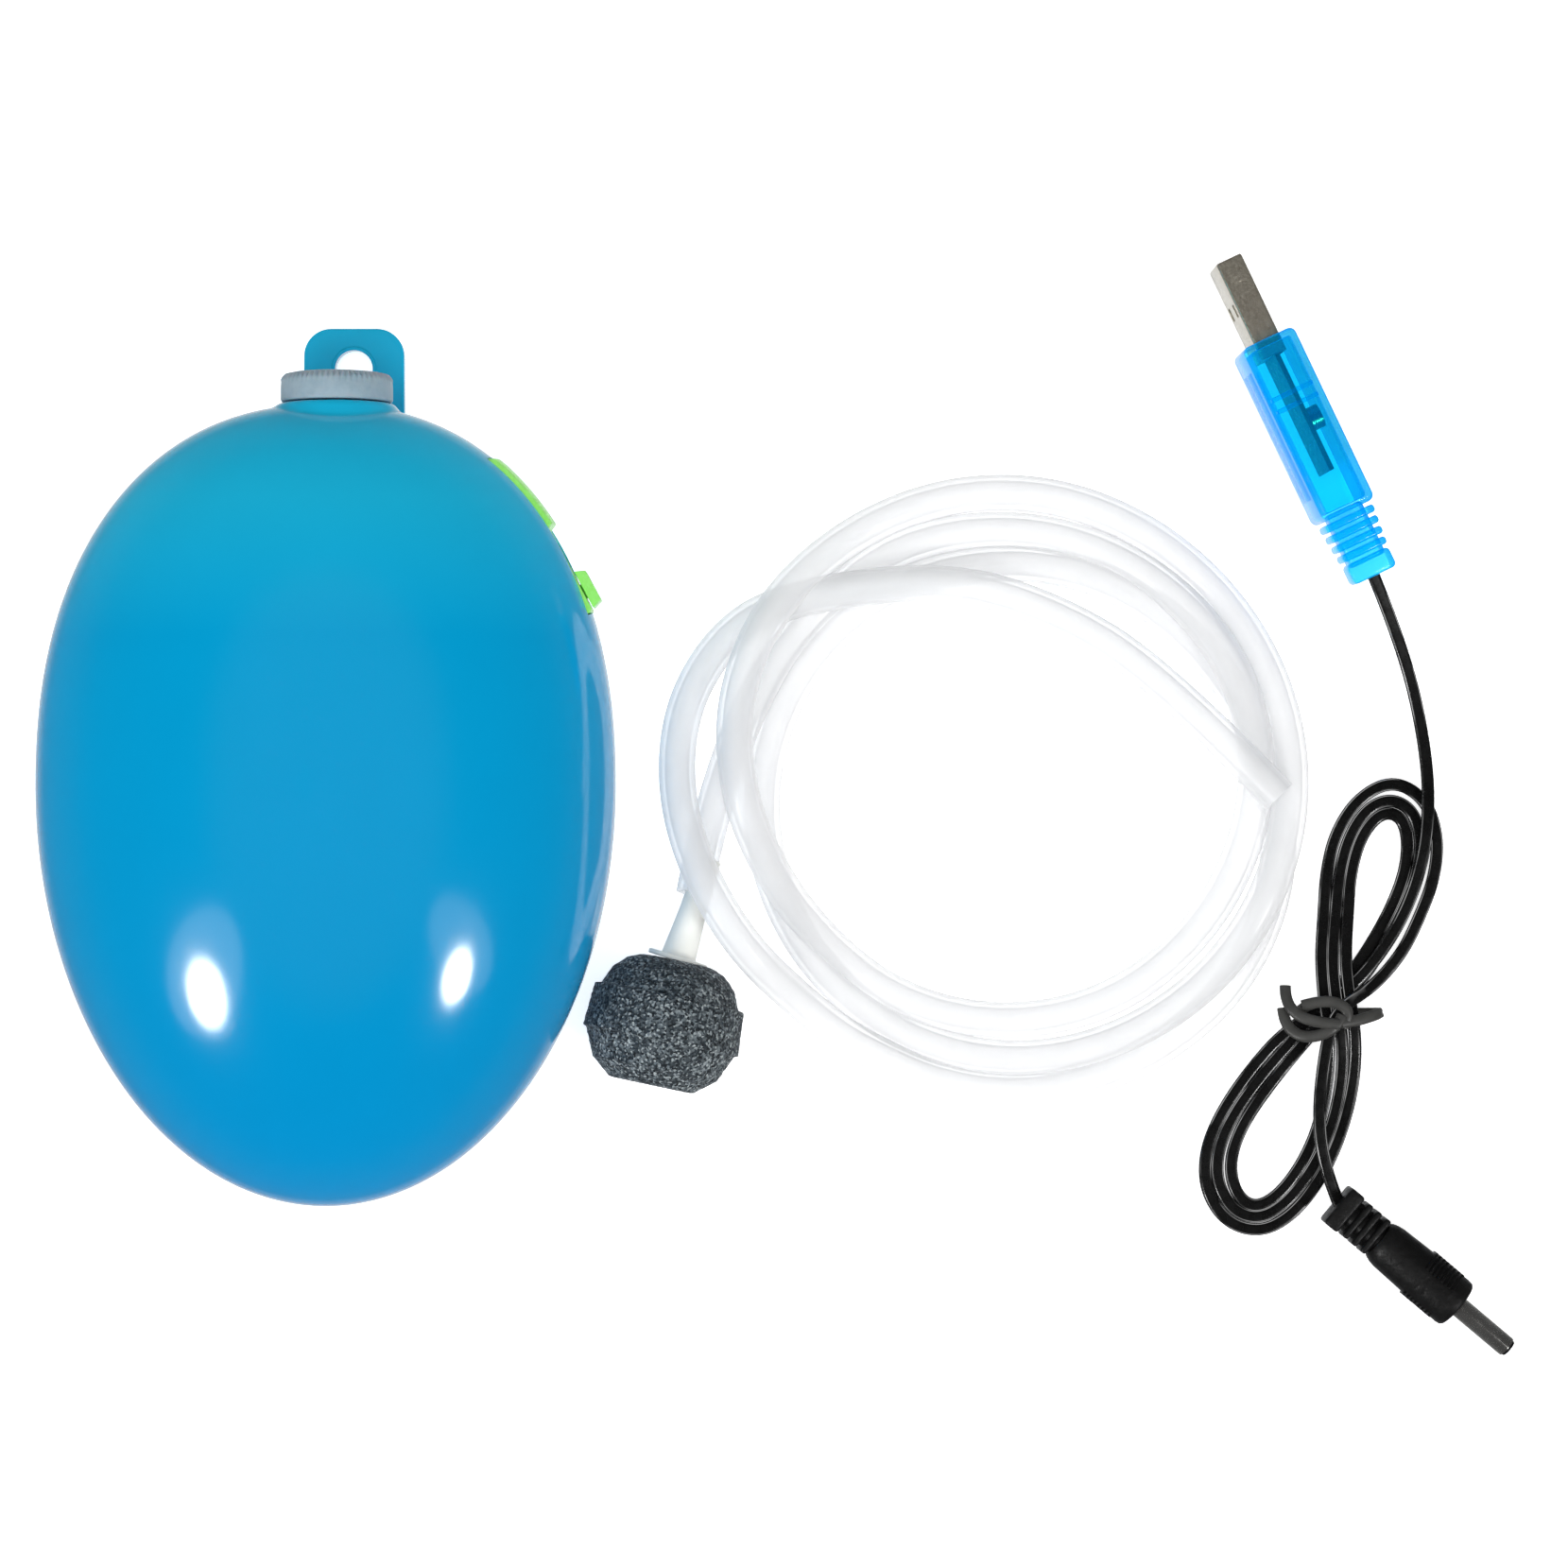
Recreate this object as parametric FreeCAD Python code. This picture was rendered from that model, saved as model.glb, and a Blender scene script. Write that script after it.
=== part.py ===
import FreeCAD, Part
import math
import os

V = FreeCAD.Vector

# ---- driving dimensions, millimetres -------------------------------------
EGG_Y = 3.0            # y of the widest section
HALF_W = 46.2          # half width of the egg
LEN_TOP = 61.0         # widest section to the top end
LEN_TAIL = 67.0        # widest section to the tail end
TOP_POWER = 2.25       # fullness of the top end
FRONT_T = 29.5         # seam to the crown of the front shell
REAR_T = 31.0          # seam to the untrimmed back of the rear shell
SEAM_Z = 29.0          # height of the seam above the rest face
WALL = 2.0             # wall of both shells
TOP_X = 1.7            # knob, collar and tab sit a little off the middle
BOSS_R = 9.0           # flat collar under the knob
BOSS_Y = 64.0          # face of the collar
COLLAR_Y = 59.4        # back of the collar, inside the shells
KNOB_R = 8.95
KNOB_TEETH = 60        # small notches round the far rim
KNOB_Y0 = 64.3
KNOB_Y1 = 69.0
STEM_R = 2.5
TAB_W = 16.6           # hang tab
TAB_T = 2.6
TAB_END = 79.0
TAB_CORNER = 4.5
HANG_R = 3.1
HANG_Y = 72.3
NOZZLE_R = 2.25        # air outlet, fits a 4 mm bore hose
NOZZLE_NECK_R = 2.0    # thinner root of the outlet and both inner spigots
NOZZLE_BORE = 1.3
NOZZLE_Z = 11.6
NOZZLE_TIP = -63.0
NOZZLE_LEN = 6.0
SHOULDER_R = 3.4       # collar that the outside hose is pushed up to
SHOULDER_Y = -56.5
PIN_R = 1.75           # barrel plug
PIN_ROOT_R = 1.3
PIN_BORE = 1.2         # filled by the insulator
PIN_LIP_R = 1.45
PIN_LEN = 10.3
PIN_LIP = 0.5
PIN_ROOT_X = -17.3     # where the root ends inside the moulded body
JACK_X = 14.0
JACK_Z = 20.0
CELL_R = 17.1          # D size cell
CELL_X = 17.3
CELL_Y = -5.0
CELL_LEN = 61.5
CELL_NUB = 1.5         # height of the plus contact
TRAY_Z = 9.9           # bottom of the tray, on two ribs of the rear shell
TRAY_ENDS = (-38.2, 28.2)
TRAY_WALL = 1.6
STRIP_T = 0.4          # contact strips
PUMP_Y = 38.6          # pump axis, parallel to z through x = 0
SHAFT_Z = 33.0         # motor shaft, parallel to x
SHAFT_R = 1.0
SHAFT_CLEAR = 1.05     # bearing bores
MOTOR_R = 10.05        # can, flattened above and below
MOTOR_FLAT = 7.55
MOTOR_X = (-27.6, -8.0)
CAN_T = 0.8
ROTOR_R = 6.3
THROW = 0.8            # offset of the crank pin
CRANK_PIN_R = 1.5
PUMP_R = 9.0           # all discs of the pump
PORT_OFF = 3.4         # inlet and outlet valve, either side of the axis
SCREW_RING = 7.6
SCREW_R = 0.9
PUMP_Z = (10.2, 13.0, 14.2, 18.2, 19.2, 20.7)   # cover, plate, chamber, diaphragm, ring
SWITCH_ANGLE = 118.2   # direction of the switch travel in the xy plane
PLATE_H = 4.6          # half height of the switch plate
PLATE_PROUD = 0.6
PLATE_S = (7.0, 36.0)  # ends of the plate along the travel
TRACK_N = 52.3         # flat the slider rides on, out from the egg's centre line
TRACK_END = 22.0
SLOT = (9.1, 18.1)     # slot for the slider's stem
SLOT_HALF = 1.5
HOSE_R = 3.0
LEAD_R = 1.05
USB_AT = (151.9, 76.2)
USB_ANGLE = 115.46
USB_MID = 8.0
USB_HALF_T = 2.25      # the metal plug is 4.5 thick and 12 wide
USB_HALF_W = 6.0
USB_SHEET = 0.3
CASE_LEN = 31.2
CASE_HALF_T = 4.65
CASE_HALF_W = 8.0
BOARD_Y = (-0.7, 0.1)
DC_TIP = (193.1, -90.1)
DC_ANGLE = -40.1
DC_MID = 4.5
STONE_AT = (53.5, -35.7, 13.0)
STONE_ANGLE = 78.1
STONE_TIP_DOWN = 4.6

HOSE_RUN = [(58.4, -14.6, 11.6), (61.2, 0.5, 8.6), (70.2, 23.2, 3.4)]
HOSE_LOOP = [(78.0, -34.5, 8.0), (65.0, -21.8, 20.8), (56.0, -4.0, 16.4),
             (55.2, 13.5, 8.0), (62.0, 27.0, 4.2), (72.5, 34.0, 5.0)]
HOSE_TAIL = [(98.0, 37.4, 9.5), (116.4, 32.6, 10.5), (134.7, 21.5, 12.4),
             (153.9, 1.3, 14.6)]
LEAD_RUN = [(170.25, 37.65, 8.0), (176.0, 25.0, 4.6), (179.8, 8.0, 3.2),
            (180.0, -4.0, 3.4)]
LEAD_TAIL = [(163.0, -37.2, 6.2), (161.2, -50.0, 6.3), (162.3, -60.0, 5.6),
             (165.1, -66.5, 4.5)]


# ---- helpers --------------------------------------------------------------
def box(x0, x1, y0, y1, z0, z1):
    return Part.makeBox(x1 - x0, y1 - y0, z1 - z0, V(x0, y0, z0))


def cyl(r, length, at, along):
    return Part.makeCylinder(r, length, V(*at), V(*along))


def turned(shape, angle, at, tilt=0.0):
    """Local +X to the given direction in the xy plane, then moved."""
    s = shape.copy()
    if tilt:
        s.rotate(V(0, 0, 0), V(0, 1, 0), tilt)
    s.rotate(V(0, 0, 0), V(0, 0, 1), angle)
    s.translate(V(*at))
    return s


def egg(inset, depth):
    """Egg of revolution about +Y squashed in z, grown or shrunk by inset."""
    pts = []
    steps = 28
    for i in range(steps + 1):
        a = -math.pi / 2 + math.pi * i / steps
        c = abs(math.cos(a))
        s = math.sin(a)
        if s < 0:
            w = (HALF_W - inset) * c
            y = EGG_Y + (LEN_TAIL - inset) * s
        else:
            w = (HALF_W - inset) * c ** (2.0 / TOP_POWER)
            y = EGG_Y + (LEN_TOP - inset) * s ** (2.0 / TOP_POWER)
        if i in (0, steps):
            w = 0.0
        pts.append(V(w * math.sin(0.3), y, -w * math.cos(0.3)))
    curve = Part.BSplineCurve()
    curve.interpolate(pts)
    axis = Part.LineSegment(pts[-1], pts[0])
    face = Part.Face(Part.Wire([curve.toShape(), axis.toShape()]))
    solid = face.revolve(V(0, 0, 0), V(0, 1, 0), 360)
    m = FreeCAD.Matrix()
    m.A33 = (depth - inset) / (HALF_W - inset)
    solid = solid.transformGeometry(m)
    solid.translate(V(0, 0, SEAM_Z))
    return solid


def above(z):
    return box(-120, 120, -120, 120, z, z + 200)


def below(z):
    return box(-120, 120, -120, 120, z - 200, z)


def half_wall(outer, inner, front, with_collar=False):
    """One half of the hollow egg between two insets."""
    depth = FRONT_T if front else REAR_T
    wall = egg(outer, depth).cut(egg(inner, depth))
    if with_collar:
        wall = wall.cut(cyl(BOSS_R, 20, (TOP_X, COLLAR_Y, SEAM_Z), (0, 1, 0)))
        wall = wall.fuse(collar())
    if front:
        return wall.common(above(SEAM_Z + 0.1 * with_collar))
    return wall.common(below(SEAM_Z)).common(above(0.0))


def route_wire(points):
    """Straight runs joined by tangent arcs."""
    p = [V(*q) for q in points]
    edges = []
    last = p[0]
    for i in range(1, len(p) - 1):
        a = (p[i - 1] - p[i])
        b = (p[i + 1] - p[i])
        la = a.Length
        lb = b.Length
        a.normalize()
        b.normalize()
        turn = math.pi - a.getAngle(b)
        cut = 0.45 * min(la, lb)
        r = cut / math.tan(turn / 2)
        t0 = p[i] + a * cut
        t1 = p[i] + b * cut
        mid = (a + b)
        mid.normalize()
        centre = p[i] + mid * (r / math.cos(turn / 2))
        way = p[i] - centre
        way.normalize()
        edges.append(Part.LineSegment(last, t0).toShape())
        edges.append(Part.Arc(t0, centre + way * r, t1).toShape())
        last = t1
    edges.append(Part.LineSegment(last, p[-1]).toShape())
    return Part.Wire(edges)


def tube(points, r, name):
    wire = route_wire(points)
    start = V(*points[0])
    way = V(*points[1]) - start
    ring = Part.Wire(Part.makeCircle(r, start, way))
    solid = wire.makePipeShell([ring], True, False)
    if solid.Volume < 0:
        solid.reverse()
    want = math.pi * r * r * wire.Length
    print("cord %-10s radius %.2f length %.1f volume %.0f section*length %.0f"
          % (name, r, wire.Length, solid.Volume, want))
    return solid


def closed_face(points):
    curve = Part.BSplineCurve()
    curve.interpolate([V(x, y, 0) for x, y in points], PeriodicFlag=True)
    return Part.Face(Part.Wire([curve.toShape()]))


# ---- switch frame: s along the travel, n out of the flank ------------------
def on_flank(s0, s1, n0, n1, h):
    block = box(s0, s1, -n1, -n0, -h, h)
    return turned(block, SWITCH_ANGLE, (0, 0, SEAM_Z))


# ---- the two shells --------------------------------------------------------
def collar():
    ring = cyl(BOSS_R, BOSS_Y - COLLAR_Y, (TOP_X, COLLAR_Y, SEAM_Z), (0, 1, 0))
    return ring.cut(cyl(3.0, 20, (TOP_X, 55, SEAM_Z), (0, 1, 0)))


def plate_zone(grow):
    return on_flank(PLATE_S[0] - grow, PLATE_S[1] + grow, 30.0, 70.0, PLATE_H + grow)


def switch_plate():
    zone = plate_zone(0.0)
    plate = half_wall(-PLATE_PROUD, WALL, True).common(zone)
    plate = plate.fuse(half_wall(-PLATE_PROUD, WALL, False).common(zone))
    pad = on_flank(8.0, TRACK_END, 49.6, 51.6, 4.2)
    plate = plate.fuse(pad)
    # flat track across the whole plate, then the slot of the slider stem
    plate = plate.cut(on_flank(0.0, TRACK_END, TRACK_N, 60.0, 8.0))
    plate = plate.cut(on_flank(SLOT[0], SLOT[1], 40.0, 60.0, SLOT_HALF))
    return plate.removeSplitter()


def front_shell():
    shell = half_wall(0.0, WALL, True, True)
    return shell.cut(plate_zone(0.25))


def hang_tab():
    flat = box(TOP_X - TAB_W / 2, TOP_X + TAB_W / 2, 16.0, TAB_END, 0, TAB_T)
    far = [e for e in flat.Edges if abs(e.CenterOfMass.y - TAB_END) < 0.01
           and abs(abs(e.CenterOfMass.x - TOP_X) - TAB_W / 2) < 0.01]
    flat = flat.makeFillet(TAB_CORNER, far)
    side = [(30.0, 1.2), (34.0, 2.1), (40.0, 3.7), (45.0, 5.6), (50.0, 8.0),
            (54.0, 10.5), (58.0, 13.8), (61.0, 1.2)]
    loop = Part.makePolygon([V(TOP_X - 1.5, y, z) for y, z in side + side[:1]])
    rib = Part.Face(loop).extrude(V(3.0, 0, 0))
    return flat.fuse(rib)


def rear_shell():
    shell = half_wall(0.0, WALL, False, True)
    shell = shell.fuse(hang_tab())
    inner = egg(1.0, REAR_T)
    parts = [cyl(6.0, 10.2, (0, PUMP_Y, 0), (0, 0, 1)),
             box(10, 18, -46, -40, 0, 16.0),
             box(-20, -12, -44, -40, 0, 20.0)]
    for side in (-1, 1):
        parts.append(box(side * 14 - 1.2, side * 14 + 1.2, -30, 22, 0, TRAY_Z))
        for y in (-12.0, 18.0):
            parts.append(cyl(2.0, 24.0, (side * 39.6, y, 0), (0, 0, 1)))
    for piece in parts:
        shell = shell.fuse(piece.common(inner))
    shell = shell.fuse(cyl(NOZZLE_NECK_R, 24.0, (0, NOZZLE_TIP, NOZZLE_Z), (0, 1, 0)))
    shell = shell.fuse(cyl(NOZZLE_R, NOZZLE_LEN, (0, NOZZLE_TIP, NOZZLE_Z), (0, 1, 0)))
    shoulder = cyl(SHOULDER_R, 12.0, (0, SHOULDER_Y, NOZZLE_Z), (0, 1, 0))
    shell = shell.fuse(shoulder.cut(inner))
    shell = shell.cut(cyl(NOZZLE_BORE, 40, (0, -70, NOZZLE_Z), (0, 1, 0)))
    shell = shell.cut(cyl(3.0, 15, (JACK_X, -61, JACK_Z), (0, 1, 0)))
    shell = shell.cut(cyl(HANG_R, 8, (TOP_X, HANG_Y, -2), (0, 0, 1)))
    return shell.cut(plate_zone(0.0))


# ---- switch ----------------------------------------------------------------
def switch_slider():
    pts = [(7.5, 52.6), (14.0, 52.6), (13.3, 54.25), (8.1, 54.25)]
    wire = Part.makePolygon([V(s, -n, -3.4) for s, n in pts + pts[:1]])
    cap = Part.Face(wire).extrude(V(0, 0, 6.8))
    for s in (9.2, 10.7, 12.2):
        cap = cap.cut(box(s - 0.3, s + 0.3, -55, -53.95, -4, 4))
    cap = turned(cap, SWITCH_ANGLE, (0, 0, SEAM_Z))
    stem = on_flank(9.4, 11.8, 47.4, 52.6, 1.2)
    return cap.fuse(stem).removeSplitter()


def slide_switch():
    body = on_flank(8.0, 21.0, 43.6, 49.6, 4.0)
    return body.cut(on_flank(SLOT[0], SLOT[1], 46.4, 50.0, SLOT_HALF))


# ---- air regulator ----------------------------------------------------------
def air_knob():
    k = cyl(KNOB_R, KNOB_Y1 - KNOB_Y0, (TOP_X, KNOB_Y0, SEAM_Z), (0, 1, 0))
    rim = [e for e in k.Edges if abs(e.CenterOfMass.y - KNOB_Y1) < 0.01]
    k = k.makeFillet(1.1, rim)
    reach = KNOB_R + 0.1
    for i in range(KNOB_TEETH):
        a = 2 * math.pi * i / KNOB_TEETH
        at = (TOP_X + reach * math.cos(a), KNOB_Y1 - 1.3, SEAM_Z + reach * math.sin(a))
        k = k.cut(cyl(0.3, 2.0, at, (0, 1, 0)))
    return k.cut(cyl(STEM_R, 2.4, (TOP_X, KNOB_Y0, SEAM_Z), (0, 1, 0)))


def knob_stem():
    s = cyl(STEM_R, KNOB_Y0 + 2.4 - 53.0, (TOP_X, 53.0, SEAM_Z), (0, 1, 0))
    groove = cyl(4, 1.2, (TOP_X, 61.4, SEAM_Z), (0, 1, 0))
    groove = groove.cut(cyl(2.0, 1.2, (TOP_X, 61.4, SEAM_Z), (0, 1, 0)))
    return s.cut(groove)


def knob_oring():
    return Part.makeTorus(2.46, 0.46, V(TOP_X, 62.0, SEAM_Z), V(0, 1, 0))


def regulator_body():
    b = cyl(5.6, COLLAR_Y - 50.5, (TOP_X, 50.5, SEAM_Z), (0, 1, 0))
    b = b.cut(cyl(STEM_R + 0.06, 8.0, (TOP_X, 52.0, SEAM_Z), (0, 1, 0)))
    spigot = cyl(1.2, 8.0, (TOP_X, 54.0, SEAM_Z - 12.0), (0, 0, 1))
    b = b.fuse(spigot)
    return b.cut(cyl(0.6, 12.0, (TOP_X, 54.0, SEAM_Z - 12.5), (0, 0, 1)))


# ---- batteries and tray -----------------------------------------------------
def battery(side):
    y0 = CELL_Y - CELL_LEN / 2
    can = cyl(CELL_R, CELL_LEN - CELL_NUB, (0, 0, 0), (0, 1, 0))
    nub = cyl(4.75, CELL_NUB, (0, CELL_LEN - CELL_NUB, 0), (0, 1, 0))
    cell = can.fuse(nub)
    if side > 0:
        cell.translate(V(CELL_X, y0, SEAM_Z))
        return cell
    cell.rotate(V(0, 0, 0), V(0, 0, 1), 180)
    cell.translate(V(-CELL_X, y0 + CELL_LEN, SEAM_Z))
    return cell


def battery_tray():
    near, far = TRAY_ENDS
    t = box(-40, 40, near, near + TRAY_WALL, TRAY_Z, 40)
    t = t.fuse(box(-27, 27, far - TRAY_WALL, far, TRAY_Z, 40))
    for side in (-1, 1):
        x = sorted((side * 4.2, side * 19.0))
        t = t.fuse(box(x[0], x[1], near, far, TRAY_Z, TRAY_Z + 2.0))
    t = t.common(egg(2.4, REAR_T))
    t = t.cut(box(-4.2, 4.2, -50, 40, 0, 16))
    return t.removeSplitter()


def contact_strip(x0, x1, y0, z0, z1):
    return box(x0, x1, y0, y0 + STRIP_T, z0, z1)


# ---- motor ------------------------------------------------------------------
def oblong(r, flat, x0, x1):
    c = cyl(r, x1 - x0, (x0, PUMP_Y, SHAFT_Z), (1, 0, 0))
    return c.common(box(x0, x1, PUMP_Y - 20, PUMP_Y + 20, SHAFT_Z - flat,
                        SHAFT_Z + flat))


def motor_can():
    x0, x1 = MOTOR_X
    c = oblong(MOTOR_R, MOTOR_FLAT, x0, x1)
    c = c.cut(oblong(MOTOR_R - CAN_T, MOTOR_FLAT - CAN_T, x0, x1 - CAN_T))
    c = c.fuse(cyl(3.0, 1.0, (x1, PUMP_Y, SHAFT_Z), (1, 0, 0)))
    return c.cut(cyl(SHAFT_CLEAR, 10, (x1 - 4.0, PUMP_Y, SHAFT_Z), (1, 0, 0)))


def motor_end_cap():
    back = MOTOR_X[0] - 1.6
    c = oblong(8.6, 7.0, back, MOTOR_X[0])
    c = c.fuse(cyl(2.6, 1.6, (back - 1.4, PUMP_Y, SHAFT_Z), (1, 0, 0)))
    return c.cut(cyl(SHAFT_CLEAR, 3.0, (back - 0.9, PUMP_Y, SHAFT_Z), (1, 0, 0)))


def magnet(side):
    ring = cyl(MOTOR_R - CAN_T, 15, (-24, PUMP_Y, SHAFT_Z), (1, 0, 0))
    ring = ring.cut(cyl(7.6, 15, (-24, PUMP_Y, SHAFT_Z), (1, 0, 0)))
    y = sorted((PUMP_Y + side * 4.0, PUMP_Y + side * 12.0))
    return ring.common(box(-24, -9, y[0], y[1], SHAFT_Z - 5.5, SHAFT_Z + 5.5))


def rotor_core():
    c = cyl(ROTOR_R, 12, (-22.5, PUMP_Y, SHAFT_Z), (1, 0, 0))
    for i in range(3):
        slot = box(-23, -10, -1.1, 1.1, 3.2, 7.5)
        slot.rotate(V(0, 0, 0), V(1, 0, 0), 120 * i)
        slot.translate(V(0, PUMP_Y, SHAFT_Z))
        c = c.cut(slot)
    c = c.fuse(cyl(2.6, 3.4, (-25.9, PUMP_Y, SHAFT_Z), (1, 0, 0)))
    return c.cut(cyl(SHAFT_R, 30, (-30, PUMP_Y, SHAFT_Z), (1, 0, 0)))


def motor_shaft():
    return cyl(SHAFT_R, 25.0, (-30.0, PUMP_Y, SHAFT_Z), (1, 0, 0))


def eccentric():
    hub = cyl(4.0, 3.6, (-6.6, PUMP_Y, SHAFT_Z), (1, 0, 0))
    hub = hub.cut(cyl(SHAFT_R, 1.6, (-6.6, PUMP_Y, SHAFT_Z), (1, 0, 0)))
    pin = cyl(CRANK_PIN_R, 5.4, (-3.0, PUMP_Y, SHAFT_Z + THROW), (1, 0, 0))
    return hub.fuse(pin)


# ---- pump -------------------------------------------------------------------
def connecting_rod():
    ring = cyl(5.2, 4.0, (-2.0, PUMP_Y, SHAFT_Z), (1, 0, 0))
    shank = box(-1.6, 1.6, PUMP_Y - 2, PUMP_Y + 2, 20.4, 29.0)
    r = ring.fuse(shank)
    eye = CRANK_PIN_R + 2 * THROW + 0.1
    return r.cut(cyl(eye, 6, (-3.0, PUMP_Y, SHAFT_Z), (1, 0, 0)))


def rod_plunger():
    return cyl(4.0, 2.4, (0, PUMP_Y, 18.0), (0, 0, 1))


def disc(r, z0, z1, hole=0.0):
    d = cyl(r, z1 - z0, (0, PUMP_Y, z0), (0, 0, 1))
    if hole:
        d = d.cut(cyl(hole, z1 - z0, (0, PUMP_Y, z0), (0, 0, 1)))
    return d


def pump_screw(i):
    a = math.radians(45 + 90 * i)
    at = (SCREW_RING * math.cos(a), PUMP_Y + SCREW_RING * math.sin(a), 11.2)
    head = (at[0], at[1], PUMP_Z[5])
    s = cyl(SCREW_R, PUMP_Z[5] - at[2], at, (0, 0, 1))
    return s.fuse(cyl(1.5, 1.1, head, (0, 0, 1)))


def pump_cover():
    c = disc(PUMP_R, PUMP_Z[0], PUMP_Z[1])
    spigot = cyl(NOZZLE_NECK_R, 8.4, (0, 23.0, NOZZLE_Z), (0, 1, 0))
    c = c.fuse(spigot.cut(disc(PUMP_R, PUMP_Z[1], 15.0)))
    for side in (-1, 1):
        c = c.cut(cyl(2.4, 2.0, (0, PUMP_Y + side * PORT_OFF, 11.2), (0, 0, 1)))
    return c.cut(cyl(NOZZLE_BORE, 13.0, (0, 22.0, NOZZLE_Z), (0, 1, 0)))


def valve_plate():
    p = disc(PUMP_R, PUMP_Z[1], PUMP_Z[2])
    for side in (-1, 1):
        p = p.cut(cyl(1.1, 2.0, (0, PUMP_Y + side * PORT_OFF, 12.6), (0, 0, 1)))
    return p


def inner_hose():
    h = cyl(3.2, 69.0, (0, -42.3, NOZZLE_Z), (0, 1, 0))
    return h.cut(cyl(NOZZLE_NECK_R, 69.0, (0, -42.3, NOZZLE_Z), (0, 1, 0)))


def motor_bracket():
    b = box(-27, -9, 31, 45, 23.6, SHAFT_Z - MOTOR_FLAT)
    for x in (-25.0, -13.0):
        b = b.fuse(box(x, x + 2.4, 32, 44, 3.0, 23.8))
    return b.common(egg(WALL, REAR_T)).removeSplitter()


# ---- electrics at the tail ---------------------------------------------------
def dc_jack():
    j = box(9.5, 18.5, -47.0, -39.0, 16.0, 24.0)
    j = j.fuse(cyl(2.95, 10.0, (JACK_X, -57.0, JACK_Z), (0, 1, 0)))
    return j.cut(cyl(1.85, 14.0, (JACK_X, -58.0, JACK_Z), (0, 1, 0)))


def circuit_board():
    return box(-25, -7, -42.6, -41.4, 20.0, 37.0)


def board_capacitor():
    return cyl(2.6, 5.0, (-20.0, -41.4, 27.0), (0, 1, 0)).common(
        box(-30, 0, -41.4, -38.3, 10, 50))


def board_chip():
    return box(-14, -9, -41.4, -40.0, 25.0, 29.0)


# ---- air stone and hose --------------------------------------------------------
def revolve_x(profile):
    pts = [V(x, r, 0) for x, r in profile]
    wire = Part.makePolygon([V(profile[0][0], 0, 0)] + pts
                            + [V(profile[-1][0], 0, 0), V(profile[0][0], 0, 0)])
    return Part.Face(wire).revolve(V(0, 0, 0), V(1, 0, 0), 360)


def air_stone():
    prof = [(-10.3, 7.2), (-7.6, 10.4), (-3.0, 12.5), (-2.8, 13.0), (4.3, 12.5),
            (4.4, 11.5), (7.4, 10.2), (9.4, 8.2), (10.3, 6.1)]
    s = revolve_x(prof)
    s = turned(s, STONE_ANGLE, STONE_AT, STONE_TIP_DOWN)
    return s.cut(stone_nipple())


def stone_nipple():
    prof = [(0.0, 4.95), (0.8, 4.95), (0.8, 2.9), (9.0, 2.25), (17.5, 2.0)]
    n = revolve_x(prof)
    n = n.cut(cyl(1.1, 18, (0, 0, 0), (1, 0, 0)))
    n.rotate(V(0, 0, 0), V(0, 1, 0), 3.0)
    n.rotate(V(0, 0, 0), V(0, 0, 1), 72.4)
    n.translate(V(55.6, -25.6, 12.2))
    return n


def hose_coil():
    outer = Part.Ellipse(V(111.3, 2.1, 0), 52.9, 48.9)
    hole = Part.Ellipse(V(109.6, 2.1, 0), 37.2, 35.1)
    of = Part.Face(Part.Wire([outer.toShape()])).extrude(V(0, 0, 9.4))
    hf = Part.Face(Part.Wire([hole.toShape()])).extrude(V(0, 0, 9.4))
    of.rotate(V(111.3, 2.1, 0), V(0, 0, 1), 90)
    return of.cut(hf)


# ---- USB lead --------------------------------------------------------------------
def usb(shape):
    return turned(shape, USB_ANGLE, (USB_AT[0], USB_AT[1], USB_MID))


def usb_shell():
    t, w = USB_HALF_T - USB_SHEET, USB_HALF_W - USB_SHEET
    s = box(-3.0, 14.4, -USB_HALF_T, USB_HALF_T, -USB_HALF_W, USB_HALF_W)
    s = s.cut(box(-4.0, 15.0, -t, t, -w, w))
    for z in (-3.0, 3.0):
        s = s.cut(box(5.2, 7.4, -3, 3, z - 1.1, z + 1.1))
    return usb(s)


def usb_tongue():
    w = USB_HALF_W - USB_SHEET
    return usb(box(-3.0, 13.6, BOARD_Y[1], USB_HALF_T - USB_SHEET, -w, w))


def usb_housing():
    h = box(-CASE_LEN, 0, -CASE_HALF_T, CASE_HALF_T, -CASE_HALF_W, CASE_HALF_W)
    h = h.makeFillet(1.3, [e for e in h.Edges if abs(e.Length - CASE_LEN) < 0.01])
    h = h.cut(box(1.0 - CASE_LEN, -1.1, -3.6, 3.6, -6.9, 6.9))
    h = h.cut(box(-4.0, 1.0, -USB_HALF_T, USB_HALF_T, -USB_HALF_W, USB_HALF_W))
    h = h.cut(cyl(1.9, 4, (-33, 0, 0), (1, 0, 0)))
    return usb(h)


def usb_board():
    return usb(box(-24.0, -3.0, BOARD_Y[0], BOARD_Y[1], -6.9, 6.9))


def usb_coil():
    return usb(cyl(2.0, 2.4, (-15, BOARD_Y[0], 2.4), (0, -1, 0)))


def usb_relief():
    r = box(-40.0, -CASE_LEN, -3.1, 3.1, -2.9, 2.9)
    r = r.fuse(box(-42.7, -39.2, -3.8, 3.8, -3.5, 3.5))
    for i in range(4):
        x = -31.8 - 1.85 * i
        w = 4.35 - 0.15 * i
        r = r.fuse(box(x - 1.3, x, -w, w, -w, w))
    r = r.fuse(box(-CASE_LEN, -27.5, -1.2, 1.2, -1.2, 1.2))
    return usb(r.removeSplitter())


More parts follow.
